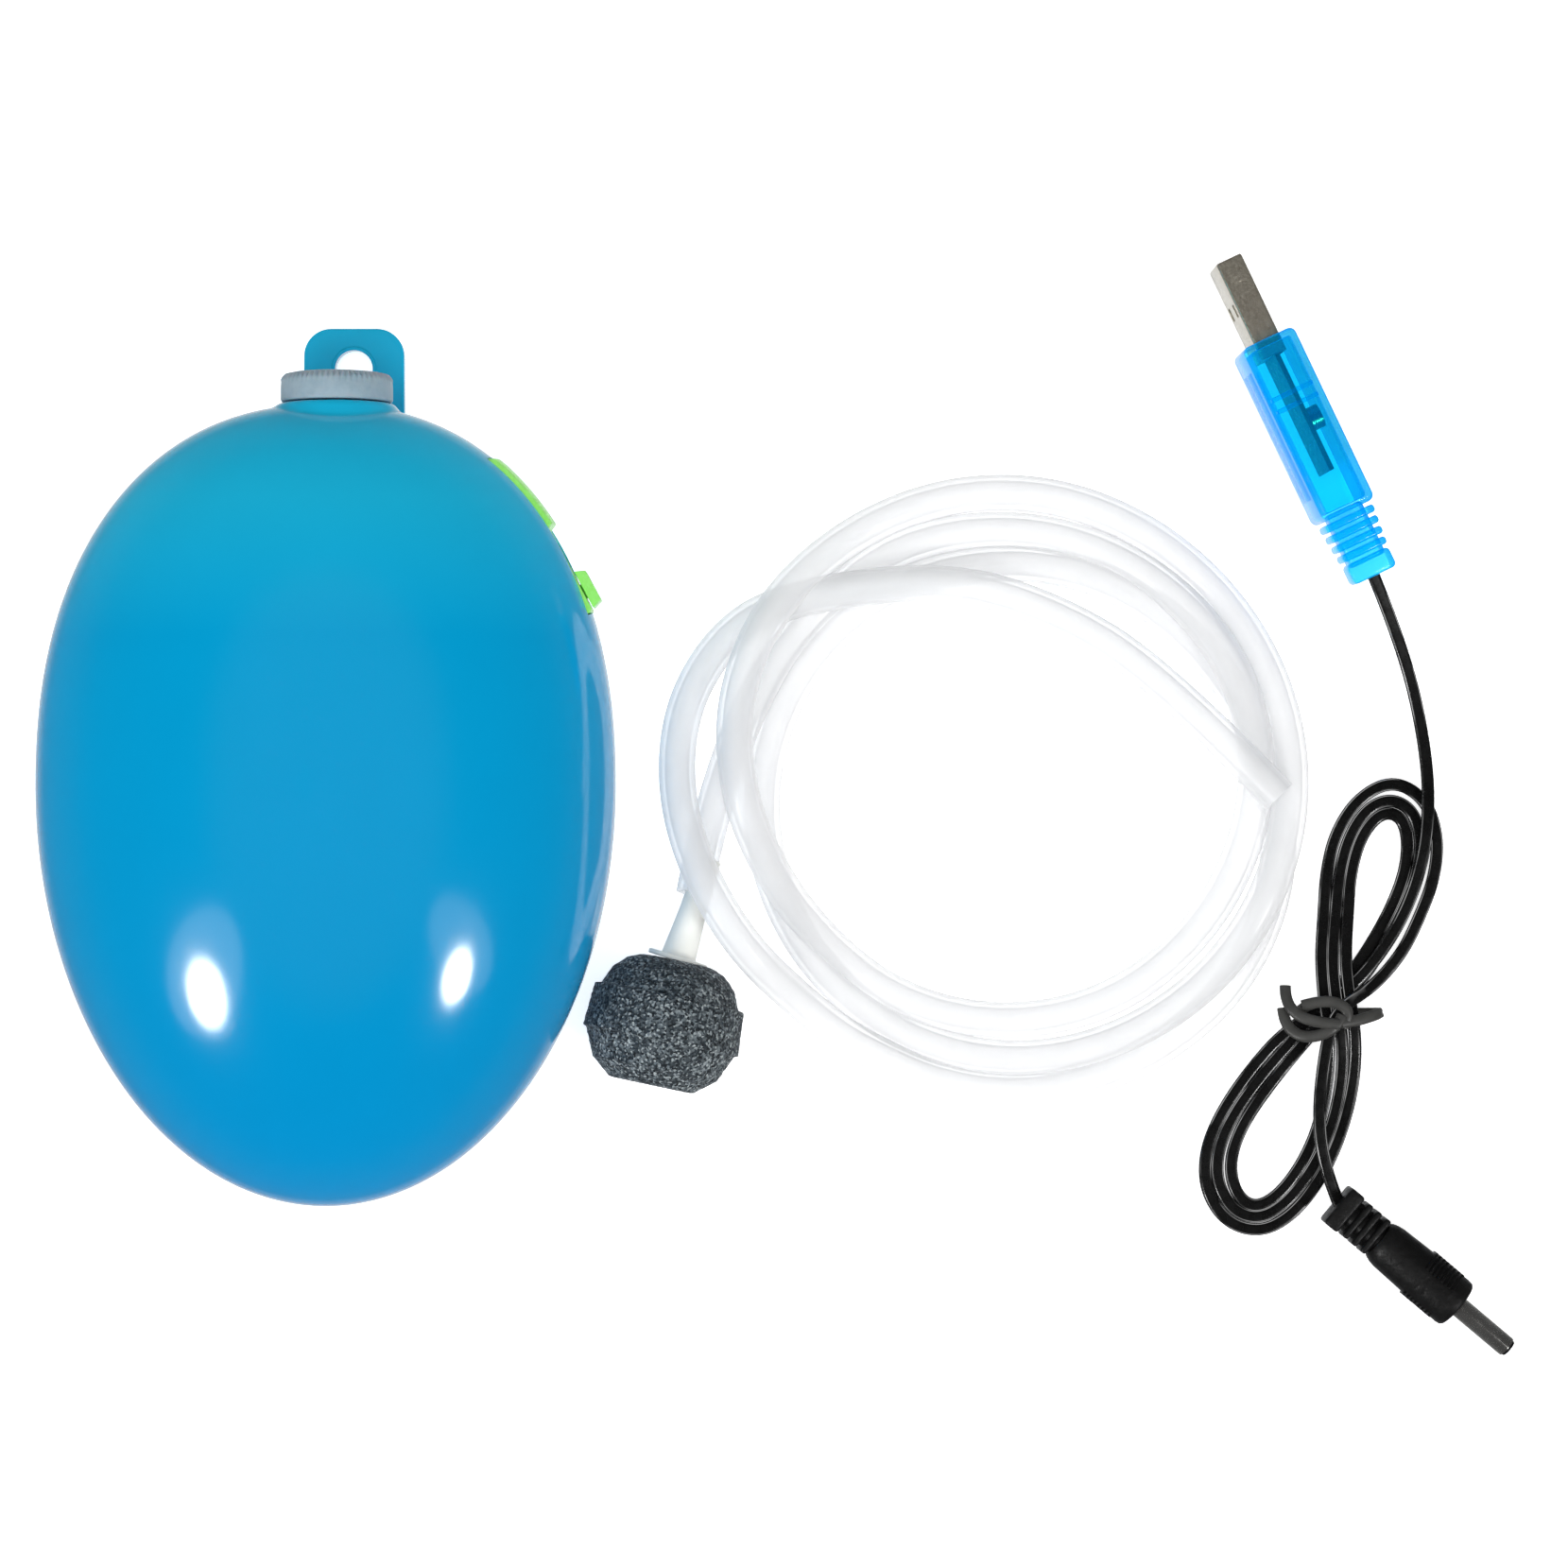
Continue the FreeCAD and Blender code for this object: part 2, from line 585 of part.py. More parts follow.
def lead_hank():
    up = [(161.0, -34.6), (163.3, -18.1), (164.6, -5.1), (170.1, 3.0),
          (177.5, 4.8), (184.0, -0.8), (184.4, -10.5), (179.0, -21.0),
          (171.4, -34.0)]
    up_hole = [(167.5, -23.5), (167.7, -11.6), (170.3, -3.9), (174.0, -1.6),
               (175.6, -6.5), (172.6, -15.5)]
    low = [(160.6, -35.0), (154.4, -41.7), (146.6, -50.8), (143.0, -59.6),
           (146.4, -69.0), (152.5, -71.4), (160.0, -67.4), (166.0, -56.1),
           (167.7, -44.3), (169.9, -35.0)]
    low_hole = [(159.9, -43.8), (151.2, -51.8), (147.9, -60.6),
                (150.5, -65.6), (156.2, -61.7), (159.6, -52.8)]
    solid = closed_face(up).fuse(closed_face(low))
    solid = solid.cut(closed_face(up_hole)).cut(closed_face(low_hole))
    waist = box(161.0, 170.6, -38.0, -31.5, 0.8, 5.2)
    shape = None
    for f in solid.Faces:
        e = f.extrude(V(0, 0, 4.4))
        e.translate(V(0, 0, 0.8))
        shape = e if shape is None else shape.fuse(e)
    return shape.fuse(waist).removeSplitter()


def twist_tie():
    t = box(158.9, 172.0, -36.2, -33.8, 0.0, 6.2)
    return t.cut(box(160.5, 170.9, -40, -30, 0.8, 5.2))


def dc(shape):
    return turned(shape, DC_ANGLE, (DC_TIP[0], DC_TIP[1], DC_MID))


def dc_relief():
    r = cyl(2.0, 9.1, (-37.4, 0, 0), (1, 0, 0))
    r = r.fuse(box(-37.4, -34.6, -3.7, 3.7, -3.3, 3.3))
    for i in range(3):
        x = -33.7 + 1.9 * i
        r = r.fuse(box(x, x + 1.1, -3.5, 3.5, -3.2, 3.2))
    return dc(r.removeSplitter())


def dc_body():
    prof = [(-28.3, 3.5), (-27.1, 3.95), (-14.4, 4.4), (-12.2, 4.45),
            (-11.3, 3.9)]
    b = revolve_x(prof)
    b = b.cut(cyl(PIN_ROOT_R, 8.0, (PIN_ROOT_X, 0, 0), (1, 0, 0)))
    return dc(b)


def dc_pin():
    p = cyl(PIN_ROOT_R, 8.0, (PIN_ROOT_X, 0, 0), (1, 0, 0))
    p = p.fuse(cyl(PIN_R, PIN_LEN, (-PIN_LIP - PIN_LEN, 0, 0), (1, 0, 0)))
    p = p.cut(cyl(PIN_BORE, PIN_LEN, (-PIN_LEN, 0, 0), (1, 0, 0)))
    return dc(p)


def dc_insulator():
    c = cyl(PIN_BORE, PIN_LEN, (-PIN_LEN, 0, 0), (1, 0, 0))
    c = c.fuse(cyl(PIN_LIP_R, PIN_LIP, (-PIN_LIP, 0, 0), (1, 0, 0)))
    return dc(c.cut(cyl(0.65, 9.5, (-9.5, 0, 0), (1, 0, 0))))


def build():
    screws = [pump_screw(i) for i in range(4)]

    def drilled(shape):
        for s in screws:
            shape = shape.cut(s)
        return shape

    parts = {
        "front_shell": front_shell(),
        "rear_shell": rear_shell(),
        "switch_plate": switch_plate(),
        "switch_slider": switch_slider(),
        "slide_switch": slide_switch(),
        "air_knob": air_knob(),
        "knob_stem": knob_stem(),
        "knob_oring": knob_oring(),
        "regulator_body": regulator_body(),
        "battery_1": battery(-1),
        "battery_2": battery(1),
        "battery_tray": battery_tray(),
        "contact_bridge": contact_strip(-26, 26, TRAY_ENDS[0] + TRAY_WALL, 24, 34),
        "contact_plus": contact_strip(11, 23, TRAY_ENDS[1] - TRAY_WALL - STRIP_T, 22, 36),
        "contact_minus": contact_strip(-23, -11, TRAY_ENDS[1] - TRAY_WALL - STRIP_T, 22, 36),
        "motor_can": motor_can(),
        "motor_end_cap": motor_end_cap(),
        "magnet_1": magnet(-1),
        "magnet_2": magnet(1),
        "rotor_core": rotor_core(),
        "motor_shaft": motor_shaft(),
        "eccentric": eccentric(),
        "motor_bracket": motor_bracket(),
        "connecting_rod": connecting_rod(),
        "rod_plunger": rod_plunger(),
        "diaphragm": drilled(disc(PUMP_R, PUMP_Z[3], PUMP_Z[4], 4.08)),
        "clamp_ring": drilled(disc(PUMP_R, PUMP_Z[4], PUMP_Z[5], 5.4)),
        "pump_chamber": drilled(disc(PUMP_R, PUMP_Z[2], PUMP_Z[3], 6.2)),
        "valve_plate": drilled(valve_plate()),
        "inlet_flap": cyl(2.0, 0.4, (0, PUMP_Y + PORT_OFF, PUMP_Z[2]), (0, 0, 1)),
        "outlet_flap": cyl(2.0, 0.4, (0, PUMP_Y - PORT_OFF, 12.6), (0, 0, 1)),
        "pump_cover": drilled(pump_cover()),
        "pump_screws": Part.makeCompound(screws),
        "inner_hose": inner_hose(),
        "dc_jack": dc_jack(),
        "circuit_board": circuit_board(),
        "board_capacitor": board_capacitor(),
        "board_chip": board_chip(),
        "air_stone": air_stone(),
        "stone_nipple": stone_nipple(),
        "hose_run": tube(HOSE_RUN, HOSE_R, "hose_run"),
        "hose_loop": tube(HOSE_LOOP, HOSE_R, "hose_loop"),
        "hose_tail": tube(HOSE_TAIL, HOSE_R, "hose_tail"),
        "hose_coil": hose_coil(),
        "usb_shell": usb_shell(),
        "usb_tongue": usb_tongue(),
        "usb_housing": usb_housing(),
        "usb_board": usb_board(),
        "usb_coil": usb_coil(),
        "usb_relief": usb_relief(),
        "lead_run": tube(LEAD_RUN, LEAD_R, "lead_run"),
        "lead_hank": lead_hank(),
        "lead_tail": tube(LEAD_TAIL, LEAD_R, "lead_tail"),
        "twist_tie": twist_tie(),
        "dc_relief": dc_relief(),
        "dc_body": dc_body(),
        "dc_pin": dc_pin(),
        "dc_insulator": dc_insulator(),
    }
    return parts


os.makedirs("parts", exist_ok=True)
for name, shape in build().items():
    solids = shape.Solids
    if len(solids) == 1:
        shape = solids[0]
    b = shape.BoundBox
    print("%-16s solids %d valid %s vol %9.1f  x %.1f..%.1f y %.1f..%.1f z %.2f..%.2f"
          % (name, len(solids), shape.isValid(), shape.Volume, b.XMin, b.XMax,
             b.YMin, b.YMax, b.ZMin, b.ZMax))
    shape.exportStep("parts/" + name + ".step")
print("nodes", len(os.listdir("parts")))
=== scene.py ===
import math
import bpy
import bmesh
from mathutils import Matrix, Vector, noise


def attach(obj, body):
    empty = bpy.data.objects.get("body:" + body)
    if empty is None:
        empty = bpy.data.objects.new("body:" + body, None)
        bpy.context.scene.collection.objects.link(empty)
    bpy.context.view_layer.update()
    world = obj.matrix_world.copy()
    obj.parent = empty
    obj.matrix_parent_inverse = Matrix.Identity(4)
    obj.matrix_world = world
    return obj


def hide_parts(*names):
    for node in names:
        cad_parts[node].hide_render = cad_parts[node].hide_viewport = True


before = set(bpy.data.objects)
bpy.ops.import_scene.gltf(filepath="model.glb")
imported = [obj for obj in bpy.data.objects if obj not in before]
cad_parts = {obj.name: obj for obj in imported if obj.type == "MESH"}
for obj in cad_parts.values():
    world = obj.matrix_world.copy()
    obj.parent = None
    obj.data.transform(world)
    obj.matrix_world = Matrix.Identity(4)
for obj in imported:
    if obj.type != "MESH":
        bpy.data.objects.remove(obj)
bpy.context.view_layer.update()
scene = bpy.context.scene
MM = 0.001

# ---------------------------------------------------------------- camera
cam_data = bpy.data.cameras.new("cam")
cam_data.lens = 96.455
cam_data.sensor_width = 36.0
cam_data.clip_end = 10.0
cam = bpy.data.objects.new("cam", cam_data)
scene.collection.objects.link(cam)
cam.location = (0.0731, 0.0034, 0.700)
cam.rotation_euler = (0.0, 0.0, 0.0)
scene.camera = cam
scene.view_settings.view_transform = "Standard"


# ---------------------------------------------------------------- mesh tools
def link(name, mesh, smooth=True, sharp=35.0):
    obj = bpy.data.objects.new(name, mesh)
    scene.collection.objects.link(obj)
    if smooth:
        for p in mesh.polygons:
            p.use_smooth = True
        if sharp:
            mesh.set_sharp_from_angle(angle=math.radians(sharp))
    return obj


def mesh_from(name, verts, faces):
    """A mesh from points in mm, with doubled points merged and normals outward."""
    mesh = bpy.data.meshes.new(name)
    mesh.from_pydata([tuple(c * MM for c in v) for v in verts], [], faces)
    bm = bmesh.new()
    bm.from_mesh(mesh)
    bmesh.ops.remove_doubles(bm, verts=bm.verts, dist=1e-6)
    bmesh.ops.dissolve_degenerate(bm, edges=bm.edges, dist=1e-6)
    bmesh.ops.recalc_face_normals(bm, faces=bm.faces)
    bm.to_mesh(mesh)
    bm.free()
    return mesh


def rings_to_faces(n_rings, n, offset=0):
    faces = []
    for i in range(n_rings - 1):
        for j in range(n):
            a = offset + i * n + j
            b = offset + i * n + (j + 1) % n
            faces.append((a, b, b + n, a + n))
    return faces


def tube_mesh(name, rings, closed_rings=False):
    """Quads between rings of equal length, capped or closed end to end."""
    n = len(rings[0])
    verts = [p for r in rings for p in r]
    faces = rings_to_faces(len(rings), n)
    if closed_rings:
        last = (len(rings) - 1) * n
        for j in range(n):
            faces.append((last + j, last + (j + 1) % n, (j + 1) % n, j))
    else:
        faces.append(tuple(range(n))[::-1])
        faces.append(tuple(range(len(verts) - n, len(verts))))
    return mesh_from(name, verts, faces)


def turned_profile(name, profile, place, segs=64):
    """Profile of (x, r) turned about local x, then placed."""
    rings = []
    for x, r in profile:
        ring = []
        for j in range(segs):
            a = 2 * math.pi * j / segs
            ring.append(place @ Vector((x, r * math.cos(a), r * math.sin(a))))
        rings.append(ring)
    return tube_mesh(name, rings)


def modified(obj, *mods):
    """Applies modifiers given as (type, settings) and keeps the result."""
    for kind, settings in mods:
        m = obj.modifiers.new(kind, kind)
        for k, v in settings.items():
            setattr(m, k, v)
    bpy.context.view_layer.update()
    deps = bpy.context.evaluated_depsgraph_get()
    mesh = bpy.data.meshes.new_from_object(obj.evaluated_get(deps))
    old = obj.data
    obj.modifiers.clear()
    obj.data = mesh
    bpy.data.meshes.remove(old)
    return obj


def cut_with(obj, cutter):
    modified(obj, ("BOOLEAN", {"object": cutter, "operation": "DIFFERENCE", "solver": "EXACT"}))
    mesh = cutter.data
    bpy.data.objects.remove(cutter)
    bpy.data.meshes.remove(mesh)
    for p in obj.data.polygons:
        p.use_smooth = True
    obj.data.set_sharp_from_angle(angle=math.radians(35))
    return obj


def join(name, objs):
    """One object from several; the parts are used up."""
    bm = bmesh.new()
    for o in objs:
        o.data.transform(o.matrix_basis)
        bm.from_mesh(o.data)
    mesh = bpy.data.meshes.new(name)
    bm.to_mesh(mesh)
    bm.free()
    for o in objs:
        bpy.data.objects.remove(o)
    obj = bpy.data.objects.new(name, mesh)
    scene.collection.objects.link(obj)
    return obj


def block(name, size, place, bevel=0.4, segs=3):
    """A bevelled block of x, y, z ranges in mm in a placed frame."""
    (x0, x1), (y0, y1), (z0, z1) = size
    bm = bmesh.new()
    bmesh.ops.create_cube(bm, size=1.0)
    for v in bm.verts:
        x = x0 if v.co.x < 0 else x1
        y = y0 if v.co.y < 0 else y1
        v.co = Vector((x, y, z0 if v.co.z < 0 else z1))
    if bevel:
        bmesh.ops.bevel(bm, geom=bm.edges[:], offset=bevel, segments=segs, profile=0.5, affect="EDGES")
    for v in bm.verts:
        v.co = (place @ v.co) * MM
    mesh = bpy.data.meshes.new(name)
    bm.to_mesh(mesh)
    bm.free()
    return link(name, mesh, sharp=50)


def prism(name, outline, z0, z1, place=Matrix(), bevel=0.0, segs=3):
    """An outline of (x, y) raised from z0 to z1 in a placed frame."""
    n = len(outline)
    verts = [place @ Vector((x, y, z)) for z in (z0, z1) for x, y in outline]
    faces = [tuple(range(n))[::-1], tuple(range(n, 2 * n))]
    for j in range(n):
        faces.append((j, (j + 1) % n, n + (j + 1) % n, n + j))
    obj = link(name, mesh_from(name, verts, faces), sharp=40)
    if bevel:
        modified(obj, ("BEVEL", {"width": bevel * MM, "segments": segs, "limit_method": "ANGLE",
                                 "angle_limit": math.radians(40)}))
        for p in obj.data.polygons:
            p.use_smooth = True
        obj.data.set_sharp_from_angle(angle=math.radians(50))
    return obj


def nurbs_points(points_mm, resolution=8):
    """The smooth line of a route: a NURBS spline with the route's points."""
    curve = bpy.data.curves.new("route", "CURVE")
    curve.dimensions = "3D"
    spline = curve.splines.new("NURBS")
    spline.points.add(len(points_mm) - 1)
    for p, q in zip(spline.points, points_mm):
        p.co = (q[0] * MM, q[1] * MM, q[2] * MM, 1.0)
    spline.order_u = 3
    spline.use_endpoint_u = True
    spline.resolution_u = resolution
    obj = bpy.data.objects.new("route", curve)
    scene.collection.objects.link(obj)
    bpy.context.view_layer.update()
    deps = bpy.context.evaluated_depsgraph_get()
    mesh = bpy.data.meshes.new_from_object(obj.evaluated_get(deps))
    pts = [v.co / MM for v in mesh.vertices]
    bpy.data.objects.remove(obj)
    bpy.data.curves.remove(curve)
    bpy.data.meshes.remove(mesh)
    out = [pts[0]]
    for p in pts[1:]:
        if (p - out[-1]).length > 0.05:
            out.append(p)
    return out


def flat_frames(pts):
    """Tangent, level sideways direction and up for each point of a line."""
    frames = []
    for i, p in enumerate(pts):
        t = (pts[min(i + 1, len(pts) - 1)] - pts[max(i - 1, 0)]).normalized()
        side = t.cross(Vector((0, 0, 1)))
        if side.length < 1e-4:
            side = Vector((1, 0, 0))
        side.normalize()
        frames.append((t, side, side.cross(t).normalized()))
    return frames


def sweep(name, pts, section):
    """Rings of a section of (sideways, up) points carried along a line."""
    rings = []
    for p, (t, s, u) in zip(pts, flat_frames(pts)):
        rings.append([p + s * a + u * b for a, b in section])
    return tube_mesh(name, rings)


def circle(r, n):
    angles = [2 * math.pi * i / n for i in range(n)]
    return [(r * math.cos(a), r * math.sin(a)) for a in angles]


# ---------------------------------------------------------------- materials
def grey(v):
    return (v, v, v)


def new_mat(name):
    m = bpy.data.materials.new(name)
    m.use_nodes = True
    nt = m.node_tree
    return m, nt, nt.nodes["Principled BSDF"]


def noise_node(nt, scale, detail=4.0):
    tc = nt.nodes.new("ShaderNodeTexCoord")
    n = nt.nodes.new("ShaderNodeTexNoise")
    n.inputs["Scale"].default_value = scale
    n.inputs["Detail"].default_value = detail
    n.inputs["Roughness"].default_value = 0.6
    nt.links.new(tc.outputs["Object"], n.inputs["Vector"])
    return n


def ramp(nt, source, stops):
    r = nt.nodes.new("ShaderNodeValToRGB")
    els = r.color_ramp.elements
    while len(els) < len(stops):
        els.new(0.5)
    for e, (pos, col) in zip(els, stops):
        e.position = pos
        e.color = (*col, 1.0)
    nt.links.new(source, r.inputs["Fac"])
    return r


def bump(nt, source, bsdf, strength, distance):
    b = nt.nodes.new("ShaderNodeBump")
    b.inputs["Strength"].default_value = strength
    b.inputs["Distance"].default_value = distance
    nt.links.new(source, b.inputs["Height"])
    nt.links.new(b.outputs["Normal"], bsdf.inputs["Normal"])
    return b


def grain(name, dark, light, rough=(0.3, 0.45), scale=900.0, height=0.00004, metallic=0.0,
          coat=0.0, mottle=60.0):
    """A moulded, plated or printed surface: mottled colour, uneven gloss, fine bump."""
    m, nt, b = new_mat(name)
    big = noise_node(nt, mottle, 5.0)
    c = ramp(nt, big.outputs["Fac"], [(0.35, dark), (0.65, light)])
    nt.links.new(c.outputs["Color"], b.inputs["Base Color"])
    fine = noise_node(nt, scale, 3.0)
    r = ramp(nt, fine.outputs["Fac"], [(0.35, grey(rough[0])), (0.7, grey(rough[1]))])
    nt.links.new(r.outputs["Color"], b.inputs["Roughness"])
    if height:
        bump(nt, fine.outputs["Fac"], b, 0.5, height)
    b.inputs["Metallic"].default_value = metallic
    if coat:
        b.inputs["Coat Weight"].default_value = coat
        b.inputs["Coat Roughness"].default_value = 0.05
    return m


def facing_ramp(nt, middle, rim):
    """A grey value from the middle of a round surface out to its rim."""
    lw = nt.nodes.new("ShaderNodeLayerWeight")
    lw.inputs["Blend"].default_value = 0.5
    return ramp(nt, lw.outputs["Facing"], [(0.3, grey(middle)), (0.9, grey(rim))])


def cloudy(nt, b, tone, rough, painted_glow):
    """Slightly uneven colour and gloss for a moulded clear piece, with painted light: the colour is also
    given out as emission so the piece glows.
    """
    cloud = noise_node(nt, 140.0, 4.0)
    c = ramp(nt, cloud.outputs["Fac"], [(0.3, tuple(0.965 * v for v in tone)), (0.7, tone)])
    nt.links.new(c.outputs["Color"], b.inputs["Base Color"])
    fine = noise_node(nt, 400.0, 3.0)
    r = ramp(nt, fine.outputs["Fac"], [(0.3, grey(rough[0])), (0.75, grey(rough[1]))])
    nt.links.new(r.outputs["Color"], b.inputs["Roughness"])
    # painted light: emission brightens the clear piece in place of light passing through it
    if painted_glow:
        nt.links.new(c.outputs["Color"], b.inputs["Emission Color"])
        b.inputs["Emission Strength"].default_value = painted_glow


def milky(name, tone, cover, rough=(0.12, 0.25), painted_glow=0.0):
    """Cloudy see-through silicone, denser towards the rim."""
    m, nt, b = new_mat(name)
    cloudy(nt, b, tone, rough, painted_glow)
    body = facing_ramp(nt, *cover)
    nt.links.new(body.outputs["Color"], b.inputs["Alpha"])
    b.inputs["IOR"].default_value = 1.41
    return m


def tinted(name, tone, tint, cover, rough, painted_glow):
    """Clear coloured plastic: what lies behind it is seen in its colour."""
    m, nt, b = new_mat(name)
    cloudy(nt, b, tone, rough, painted_glow)
    clear = nt.nodes.new("ShaderNodeBsdfTransparent")
    clear.inputs["Color"].default_value = (*tint, 1.0)
    body = facing_ramp(nt, *cover)
    mix = nt.nodes.new("ShaderNodeMixShader")
    nt.links.new(body.outputs["Color"], mix.inputs["Fac"])
    nt.links.new(clear.outputs["BSDF"], mix.inputs[1])
    nt.links.new(b.outputs["BSDF"], mix.inputs[2])
    nt.links.new(mix.outputs["Shader"], nt.nodes["Material Output"].inputs["Surface"])
    return m


def multiply(nt, first, second):
    mix = nt.nodes.new("ShaderNodeMix")
    mix.data_type = "RGBA"
    mix.blend_type = "MULTIPLY"
    mix.inputs["Factor"].default_value = 1.0
    nt.links.new(first, mix.inputs["A"])
    nt.links.new(second, mix.inputs["B"])
    return mix.outputs["Result"]


# painted light and shade: the blue runs from darker at the tail end to lighter at the knob end
SHELL_PAINTED_LIGHT_TONES = [(0.0, (0.0, 0.25, 0.55)), (0.72, (0.0, 0.345, 0.66)), (0.9, (0.01, 0.47, 0.74))]
SHELL_SPAN = 0.06


def blue_shell():
    """Glossy blue plastic with painted light: a little lighter towards the knob, darker towards the tail.
    """
    m, nt, b = new_mat("shell_gloss")
    tc = nt.nodes.new("ShaderNodeTexCoord")
    sep = nt.nodes.new("ShaderNodeSeparateXYZ")
    nt.links.new(tc.outputs["Object"], sep.inputs["Vector"])
    mp = nt.nodes.new("ShaderNodeMapRange")
    mp.inputs["From Min"].default_value = -SHELL_SPAN
    mp.inputs["From Max"].default_value = SHELL_SPAN
    nt.links.new(sep.outputs["Y"], mp.inputs["Value"])
    # painted light and shade along the egg's length, set into the base colour
    tone = ramp(nt, mp.outputs["Result"], SHELL_PAINTED_LIGHT_TONES)
    big = noise_node(nt, 38.0, 3.0)
    shade = ramp(nt, big.outputs["Fac"], [(0.3, (0.97, 0.97, 0.97)), (0.7, (1.0, 1.0, 1.0))])
    nt.links.new(multiply(nt, tone.outputs["Color"], shade.outputs["Color"]), b.inputs["Base Color"])
    dust = noise_node(nt, 1500.0, 2.0)
    r = ramp(nt, dust.outputs["Fac"], [(0.55, grey(0.10)), (0.8, grey(0.2))])
    nt.links.new(r.outputs["Color"], b.inputs["Roughness"])
    wave = noise_node(nt, 24.0, 2.0)
    bump(nt, wave.outputs["Fac"], b, 0.12, 0.0004)
    b.inputs["Coat Weight"].default_value = 0.6
    b.inputs["Coat Roughness"].default_value = 0.12
    b.inputs["IOR"].default_value = 1.46
    return m


STONE_TONES = [(0.0, (0.004, 0.006, 0.008)), (0.35, (0.03, 0.042, 0.052)), (0.62, (0.09, 0.11, 0.12)),
               (0.85, (0.21, 0.25, 0.27)), (1.0, (0.48, 0.53, 0.54))]


def stone_mat():
    """Sintered grains, each with its own grey."""
    m, nt, b = new_mat("sintered_stone")
    tc = nt.nodes.new("ShaderNodeTexCoord")
    v = nt.nodes.new("ShaderNodeTexVoronoi")
    v.inputs["Scale"].default_value = 2900.0
    nt.links.new(tc.outputs["Object"], v.inputs["Vector"])
    sep = nt.nodes.new("ShaderNodeSeparateColor")
    nt.links.new(v.outputs["Color"], sep.inputs["Color"])
    c = ramp(nt, sep.outputs["Red"], STONE_TONES)
    big = noise_node(nt, 120.0, 6.0)
    shade = ramp(nt, big.outputs["Fac"], [(0.3, (0.7, 0.72, 0.74)), (0.7, (1.0, 1.0, 1.0))])
    nt.links.new(multiply(nt, c.outputs["Color"], shade.outputs["Color"]), b.inputs["Base Color"])
    r = ramp(nt, sep.outputs["Green"], [(0.0, grey(0.45)), (1.0, grey(0.95))])
    nt.links.new(r.outputs["Color"], b.inputs["Roughness"])
    bump(nt, v.outputs["Distance"], b, 0.9, 0.0003)
    return m


def frost_mat():
    m, nt, b = new_mat("frosted_knob")
    n = noise_node(nt, 700.0, 4.0)
    c = ramp(nt, n.outputs["Fac"], [(0.3, (0.26, 0.36, 0.43)), (0.7, (0.33, 0.43, 0.49))])
    nt.links.new(c.outputs["Color"], b.inputs["Base Color"])
    r = ramp(nt, n.outputs["Fac"], [(0.3, grey(0.32)), (0.7, grey(0.5))])
    nt.links.new(r.outputs["Color"], b.inputs["Roughness"])
    b.inputs["Subsurface Weight"].default_value = 0.2
    b.inputs["Subsurface Scale"].default_value = 0.002
    bump(nt, n.outputs["Fac"], b, 0.2, 0.00002)
    return m


# painted highlight: bright lines along the cores, by how far up the surface faces, given out as emission
FLEX_PAINTED_HIGHLIGHT = [(0.68, grey(0.0)), (0.76, grey(0.8)), (0.80, grey(0.8)), (0.88, grey(0.0))]


def flex_mat():
    """Glossy black flex with a painted highlight: a thin glowing line runs along each side of every core.
    """
    m = grain("black_flex", grey(0.003), grey(0.006), (0.24, 0.34), 600, 0.0, coat=0.5)
    nt = m.node_tree
    b = nt.nodes["Principled BSDF"]
    geo = nt.nodes.new("ShaderNodeNewGeometry")
    sep = nt.nodes.new("ShaderNodeSeparateXYZ")
    nt.links.new(geo.outputs["Normal"], sep.inputs["Vector"])
    line = ramp(nt, sep.outputs["Z"], FLEX_PAINTED_HIGHLIGHT)
    broken = noise_node(nt, 110.0, 2.0)
    gate = ramp(nt, broken.outputs["Fac"], [(0.42, grey(0.0)), (0.58, grey(1.0))])
    # painted highlight: the lines glow as emission, lit by no lamp
    nt.links.new(multiply(nt, line.outputs["Color"], gate.outputs["Color"]), b.inputs["Emission Color"])
    b.inputs["Emission Strength"].default_value = 0.55
    return m


def set_specular(m, level):
    m.node_tree.nodes["Principled BSDF"].inputs["Specular IOR Level"].default_value = level
    return m


